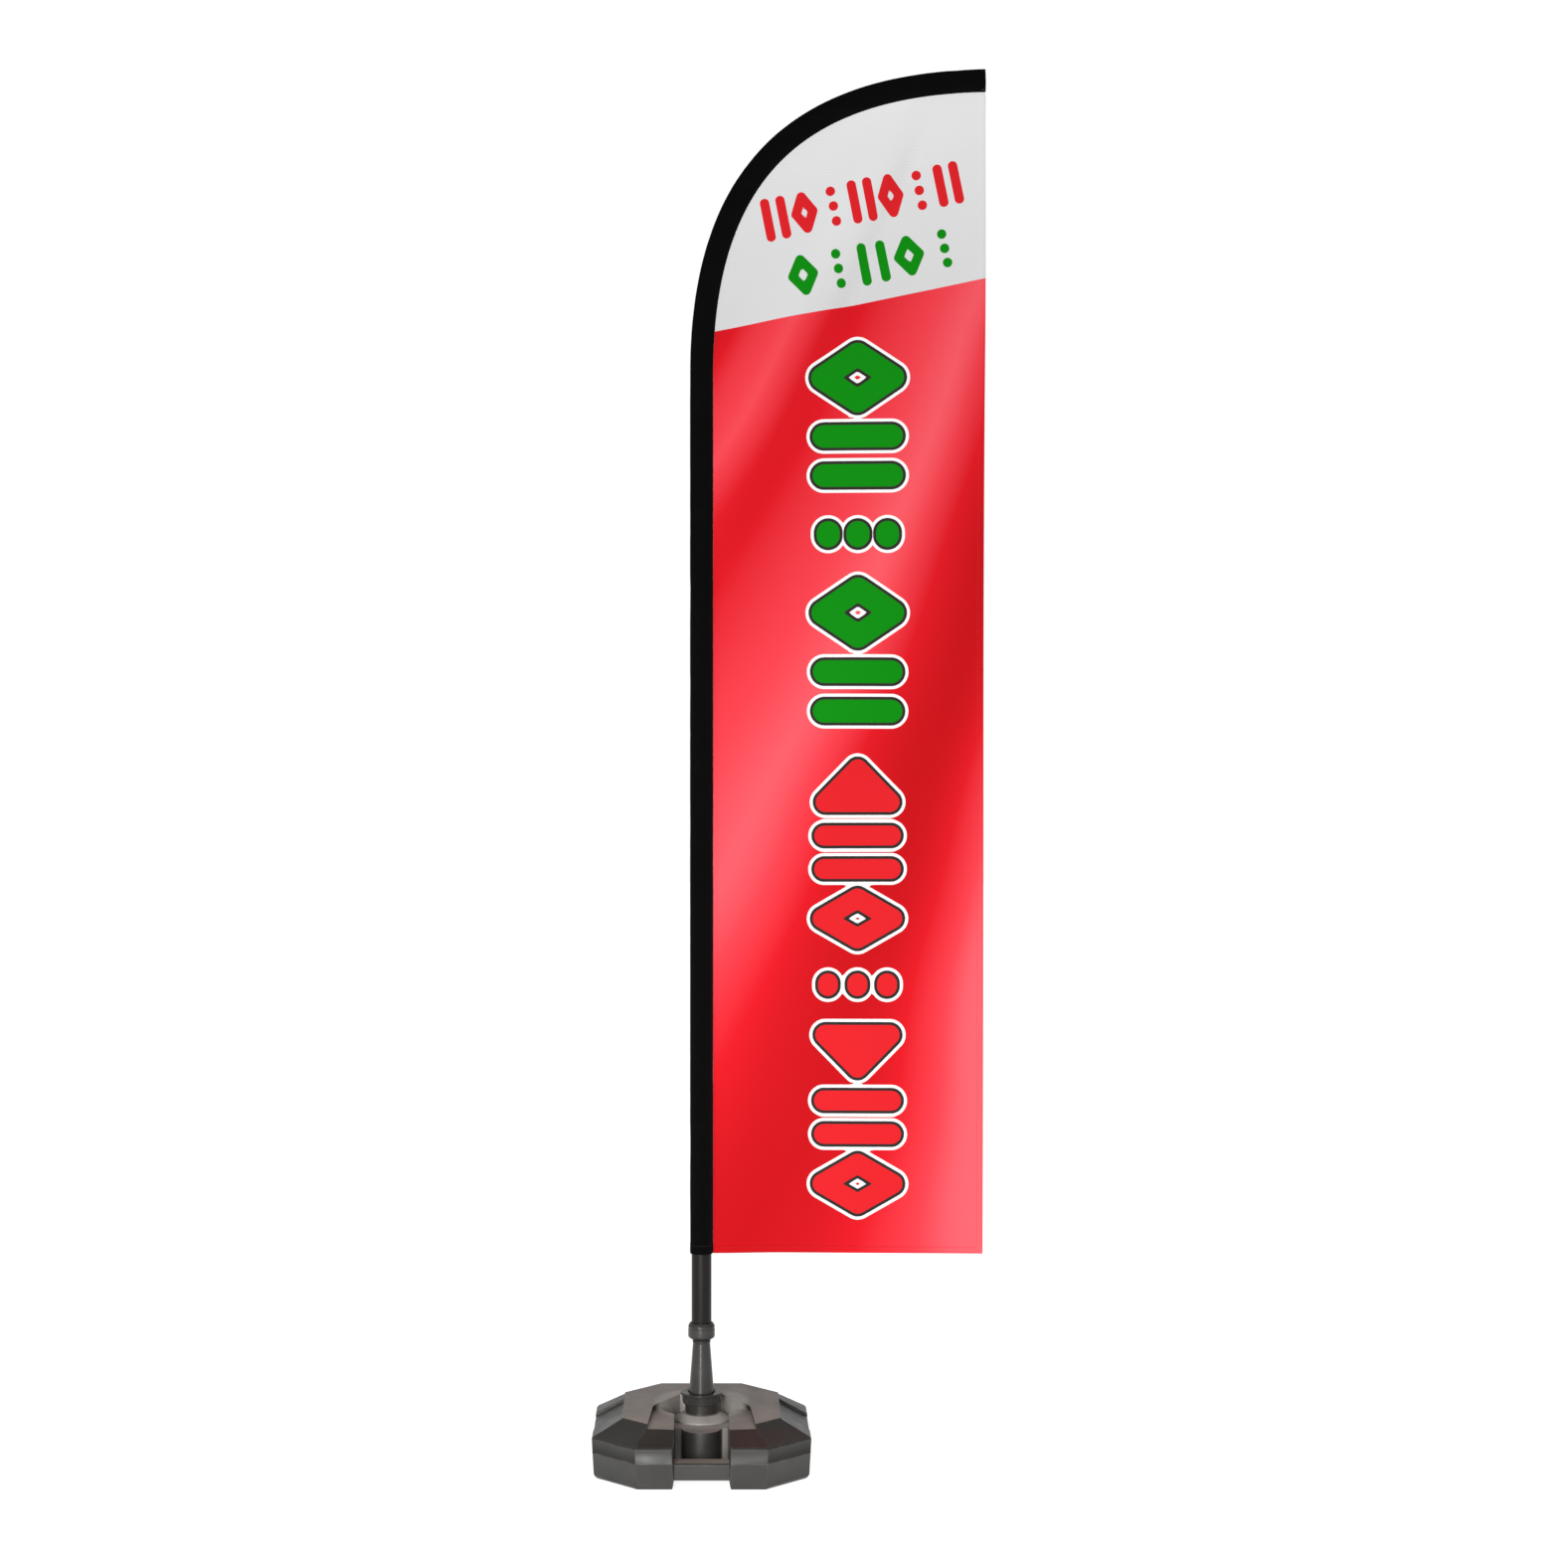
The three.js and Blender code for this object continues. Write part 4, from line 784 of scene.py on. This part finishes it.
# Each printed shape is made of strokes: lines with round ends, in the shape's own half width and half height.
LOZENGE = [[(-0.78, 0), (0, 0.72), (0.78, 0), (0, -0.72), (-0.78, 0)]]
BARS = [[(-0.75, 0.6), (0.75, 0.6)], [(-0.75, -0.6), (0.75, -0.6)]]
DOTS = [[(-0.66, 0.05), (-0.66, -0.05)], [(0, 0.05), (0, -0.05)], [(0.66, 0.05), (0.66, -0.05)]]
WEDGE = [[(-0.72, -0.58), (0, 0.6), (0.72, -0.58), (-0.72, -0.58)], [(0, 0.3), (0, -0.3)]]
DROP = [[(-0.72, 0.58), (0, -0.6), (0.72, 0.58), (-0.72, 0.58)], [(0, 0.3), (0, -0.3)]]
PILLARS = [[(-0.72, -0.75), (-0.72, 0.75)], [(0.72, -0.75), (0.72, 0.75)]]
SPOTS = [[(0, 0.68), (0, 0.66)], [(0, 0.01), (0, -0.01)], [(0, -0.66), (0, -0.68)]]


def printed(x, level, shapes, centres, half_wide, half_high, stroke, slant=0.0):
    """Distance of each point to the nearest of these shapes, below 0 inside it."""
    best = np.full(x.shape, 1e9)
    lean, rise = math.cos(slant), math.sin(slant)
    for shape, (mid_x, mid_z) in zip(shapes, centres):
        own_x = (x - mid_x) * lean + (level - mid_z) * rise
        own_z = (level - mid_z) * lean - (x - mid_x) * rise
        for part in shape:
            points = [(px * half_wide, pz * half_high) for px, pz in part]
            best = np.minimum(best, from_line(own_x, own_z, points) - stroke)
    return best


COLUMN_X = 314
green_column = [(COLUMN_X, 2181 - 158 * k) for k in range(5)]
red_column = [(COLUMN_X, 1359 - 133.4 * k) for k in range(7)]
red_row = [(149 + 57.9 * k, 2500 + 11.7 * k) for k in range(7)]
green_row = [(204 + 71.2 * k, 2385 + 13.8 * k) for k in range(5)]
ROW_SLANT = math.radians(11.4)


def ink(x, level):
    """The print at each point: distances to the column's and the head's shapes, share of painted light, green or red.
    """
    greens = printed(x, level, [LOZENGE, BARS, DOTS, LOZENGE, BARS], green_column, 90, 66, 23)
    reds = printed(x, level, [WEDGE, BARS, LOZENGE, DOTS, DROP, BARS, LOZENGE], red_column, 90, 56, 20)
    head_reds = printed(x, level, [PILLARS, LOZENGE, SPOTS, PILLARS, LOZENGE, SPOTS, PILLARS], red_row, 22, 46, 9.5,
                        ROW_SLANT)
    head_greens = printed(x, level, [LOZENGE, SPOTS, PILLARS, LOZENGE, SPOTS], green_row, 27, 44, 9.5, ROW_SLANT)
    # Painted light and shade across the folds: each step across them gets a share of light, softened.
    crossing = across_folds(x, level) + 7 * np.sin(level * 0.0051 + x * 0.004) + 4 * np.sin(level * 0.0137 + 1.3)
    steps = [-760, -670, -580, -490, -400, -345, -265, -175, -85, 5, 50, 95, 140, 185, 230, 275, 320, 365, 410, 455,
             500]
    light = [0.05, 0.17, 0.57, 0.76, 0.36, 0.28, 0.45, 0.6, 0.73, 0.9, 0.77, 0.58, 0.37, 0.19, 0.07, 0.02, 0.11, 0.37,
             0.6, 0.93, 1.0]
    fine = np.linspace(-800, 800, 641)
    kernel = np.hanning(17) / np.hanning(17).sum()
    softened = np.convolve(np.pad(np.interp(fine, steps, light), 8, mode="edge"), kernel, mode="valid")
    is_green = np.where(np.minimum(greens, head_greens) < np.minimum(reds, head_reds), 1.0, 0.0)
    return {"column": np.minimum(greens, reds), "head": np.minimum(head_greens, head_reds),
            "light": np.interp(crossing, fine, softened), "green": is_green}


def printed_mesh(name, x, y, z):
    """Cloth from grids of x, y and z in mm, with the print and the painted fold light stored on its points for its
    material.
    """
    rows = [[(float(a) * MM, float(b) * MM, float(c) * MM) for a, b, c in zip(*row)] for row in zip(x, y, z)]
    mesh = cloth_mesh(name, rows, False, lambda row, k: (x[row, k] * MM, z[row, k] * MM))
    for label, values in ink(x.ravel(), z.ravel()).items():
        mesh.attributes.new(label, "FLOAT", "POINT").data.foreach_set("value", values.astype(np.float32))
    return mesh


PITCH = 4.6
straight_rows = np.arange(FOOT, SLEEVE_BEND, PITCH)
bend_rows = np.interp(np.arange(0, BEND_RUN[-1] * 0.995, PITCH), BEND_RUN, BEND_SHARE)
levels = np.concatenate([straight_rows, [on_bend(s, -SEAM_X * MM)[0].y / MM for s in bend_rows]])
seam_x = np.concatenate([np.full(len(straight_rows), SEAM_X),
                         [on_bend(s, -SEAM_X * MM)[0].x / MM for s in bend_rows]])
kept = seam_x < fly_x(levels) - 1
levels, seam_x = levels[kept], seam_x[kept]
COLUMNS = 120
shares = np.linspace(0, 1, COLUMNS)
grid_x = seam_x[:, None] + (fly_x(levels) - seam_x)[:, None] * shares[None, :]
grid_z = np.repeat(levels[:, None], COLUMNS, axis=1)
grid_y = hang(grid_x.ravel(), grid_z.ravel()).reshape(grid_x.shape)
panel_mesh = printed_mesh("flag_cloth", grid_x, grid_y, grid_z)

# Warp-knitted polyester, dye printed: matt with a slight silk, thin enough to show its knit. The knit's 1 mm courses
# are drawn 3 mm apart. The colours change across the folds with painted light and shade: deep red on their shaded
# sides, pink on their lit sides, and the white head greyer in the shade.
knitted, tree, shader = start_material("printed_knitted_polyester")
cut = add(tree, "ShaderNodeUVMap", uv_map="cut")
value_of = {name: add(tree, "ShaderNodeAttribute", attribute_name=name).outputs["Fac"]
            for name in ("column", "head", "light", "green")}
# Painted light and shade: the red runs from deep on the folds' shaded sides to pink on their lit sides.
painted_fold_light = add(tree, "ShaderNodeValToRGB", {0: value_of["light"]})
painted_fold_light.color_ramp.elements[0].color = linear("#C6000C")
painted_fold_light.color_ramp.elements[1].color = linear("#FF6670")
for share, colour in ((0.35, "#E2101F"), (0.68, "#F63F4C")):
    painted_fold_light.color_ramp.elements.new(share).color = linear(colour)
apart = add(tree, "ShaderNodeSeparateXYZ", {0: cut})
# The head ends on a straight slant, 11 degrees up towards the fly edge from this height at the pole.
HEAD_SLOPE, HEAD_FOOT = 0.194, 2.2676
slope_z = add(tree, "ShaderNodeMath", {0: apart.outputs["X"], 1: HEAD_SLOPE}, operation="MULTIPLY")
above = add(tree, "ShaderNodeMath", {0: apart.outputs["Y"], 1: slope_z}, operation="SUBTRACT")
above = add(tree, "ShaderNodeMath", {0: above, 1: HEAD_FOOT}, operation="SUBTRACT")
# The white head is greyer towards its foot and carries the folds' painted light and shade at 0.3 of its strength.
by_height = add(tree, "ShaderNodeMapRange", {0: above, 1: 0, 2: 0.42, 3: 0, 4: 0.7})
by_fold = add(tree, "ShaderNodeMath", {0: value_of["light"], 1: 0.3}, operation="MULTIPLY")
head_light = add(tree, "ShaderNodeMath", {0: by_height, 1: by_fold}, operation="ADD")
head_colour = add(tree, "ShaderNodeMix", {0: head_light, 6: "#D9D9DA", 7: "#F8F8F8"}, data_type="RGBA")
is_green = add(tree, "ShaderNodeMapRange", {0: value_of["green"], 1: 0.45, 2: 0.55})
ink_colour = add(tree, "ShaderNodeMix", {0: is_green, 6: "#E41E26", 7: "#008D03"}, data_type="RGBA")
# Each layer lies over the ones before it: head, white outline, dark outline, then the shapes themselves.
field = painted_fold_light
for reach, outside, inside, layer in ((above, -0.3 * MM, 0.3 * MM, head_colour),
                                      (value_of["column"], 12.4, 11.6, "#FFFFFF"),
                                      (value_of["column"], 6.4, 5.6, "#2D2926"),
                                      (value_of["column"], 0.4, -0.4, ink_colour),
                                      (value_of["head"], 0.4, -0.4, ink_colour)):
    covered = add(tree, "ShaderNodeMapRange", {0: reach, 1: outside, 2: inside})
    field = add(tree, "ShaderNodeMix", {0: covered, 6: field, 7: layer}, data_type="RGBA")
courses = add(tree, "ShaderNodeTexWave", {"Vector": cut, "Scale": 52, "Distortion": 0.8, "Detail": 1.0},
              bands_direction="Y")
wales = add(tree, "ShaderNodeTexWave", {"Vector": cut, "Scale": 70, "Distortion": 0.5, "Detail": 1.0},
            bands_direction="X")
knit = add(tree, "ShaderNodeMath", {0: courses.outputs["Fac"], 1: wales.outputs["Fac"]}, operation="MULTIPLY")
tone = add(tree, "ShaderNodeMapRange", {0: knit, 1: 0, 2: 1, 3: 0.97, 4: 1.02})
toned = add(tree, "ShaderNodeHueSaturation", {"Color": field, "Value": tone})
roughness = add(tree, "ShaderNodeMapRange", {0: knit, 1: 0, 2: 1, 3: 0.68, 4: 0.8})
knit_bump = add(tree, "ShaderNodeBump", {"Strength": 0.25, "Distance": 0.2 * MM, "Height": knit})
creased = uneven(tree, cut, 9, 3, 0.35, 3 * MM, knit_bump)
fill(tree, shader, {"Base Color": toned, "Roughness": roughness, "Specular IOR Level": 0.1, "Normal": creased})

flag_cloth = fitted(smoothed(place("flag_cloth", panel_mesh), 60), "flag", "flag_cloth", knitted, "flag_panel")

# Hems at the foot and the fly: the cloth folded over to both sides, 14 mm wide, and sewn.
HEM = 14.0
foot_line = [(x, FOOT) for x in np.linspace(SEAM_X + 1, fly_x(FOOT), 100)]
fly_line = [(fly_x(z), z) for z in np.linspace(FOOT, levels[-1] - 6, 400)]


def hem(name, line, inward):
    """Cloth folded round an edge: its section runs from the front, round the edge, to the back."""
    section = [(HEM, -0.1), (HEM - 0.5, -0.45), (0.6, -0.5), (-0.5, 0), (0.6, 0.5), (HEM - 0.5, 0.45), (HEM, 0.1)]
    x = np.array([[a + inward[0] * depth for depth, _ in section] for a, _ in line])
    z = np.array([[b + inward[1] * depth for depth, _ in section] for _, b in line])
    y = hang(x.ravel(), z.ravel()).reshape(x.shape) + np.array([off for _, off in section])[None, :]
    return fitted(smoothed(place(name, printed_mesh(name, x, y, z)), 60), "flag", "flag_cloth", knitted)


foot_hem = hem("foot_hem", foot_line, (0, 1))
fly_hem = hem("fly_hem", fly_line, (-1, 0))

# ---------------------------------------------------------------- stitches
# Lockstitch in bonded polyester thread: red along the hems, black along the sleeve and round its mouth. Real stitches
# are 3 mm long, made 5 mm apart here so that they show.

stitch_row, given = node_tree("stitch_row", ("Pitch", "Float"), ("Stitch", "Vector"), ("Material", "Material"))
sewn = add(stitch_row, "GeometryNodeMeshToCurve", {"Mesh": given["Geometry"]})
spaced = add(stitch_row, "GeometryNodeCurveToPoints", {"Curve": sewn, "Length": given["Pitch"]}, mode="LENGTH")
bead = add(stitch_row, "GeometryNodeMeshUVSphere", {"Segments": 6, "Rings": 4, "Radius": 1.0})
lie = add(stitch_row, "FunctionNodeAlignRotationToVector", {"Vector": spaced.outputs["Tangent"]}, axis="Z")
laid = add(stitch_row, "GeometryNodeInstanceOnPoints", {"Points": spaced, "Instance": bead,
                                                        "Rotation": lie, "Scale": given["Stitch"]})
ended(stitch_row, laid, given)


# Bonded polyester thread: matt, twisted, in the colour of what it sews.
def thread_finish(name, dark, pale):
    finish, tree, shader = start_material(name)
    spot = add(tree, "ShaderNodeTexCoord").outputs["Object"]
    strands = add(tree, "ShaderNodeTexNoise", {"Vector": spot, "Scale": 900, "Detail": 2})
    base = add(tree, "ShaderNodeMix", {0: strands, 6: dark, 7: pale}, data_type="RGBA")
    fill(tree, shader, {"Base Color": base, "Roughness": 0.7})
    return finish


def sewn_rows(name, lines, material):
    """Rows of stitches along lines of points, in one mesh."""
    points = [p for line in lines for p in line]
    edges, start = [], 0
    for line in lines:
        edges += [(start + k, start + k + 1) for k in range(len(line) - 1)]
        start += len(line)
    return grown(name, stitch_row, {"Pitch": 5 * MM, "Stitch": (0.45 * MM, 0.45 * MM, 1.9 * MM),
                                    "Material": material}, points=points, edges=edges)


def on_cloth(line, off):
    x, z = np.array([a for a, _ in line]), np.array([b for _, b in line])
    return [(a * MM, (b + off) * MM, c * MM) for a, b, c in zip(x.tolist(), hang(x, z).tolist(), z.tolist())]


red_thread = thread_finish("red_polyester_thread", "#A80812", "#D92530")
black_thread = thread_finish("black_polyester_thread", "#0B0B0B", "#1E1D1D")
hem_rows = []
for off in (-0.6, 0.6):
    for inset in (2.5, 11.5):
        hem_rows.append(on_cloth([(x, z + inset) for x, z in foot_line[3:-3]], off))
        hem_rows.append(on_cloth([(x - inset, z) for x, z in fly_line[3:320]], off))
hem_stitches = fitted(sewn_rows("hem_stitches", hem_rows, red_thread), "flag", "flag_cloth", red_thread)
sleeve_seams = [[sleeve_point(run, turn, 0.15) for run in np.arange(4, SLEEVE_LENGTH - 3, 6)]
                for turn in (0.14, 2 * math.pi - 0.14)]
mouth_rows = [[sleeve_point(17, turn, 0.5) for turn in np.linspace(0.25, 2 * math.pi - 0.25, 60)]]
sleeve_stitches = fitted(sewn_rows("sleeve_stitches", sleeve_seams + mouth_rows, black_thread), "flag",
                         "sleeve_cloth", black_thread)
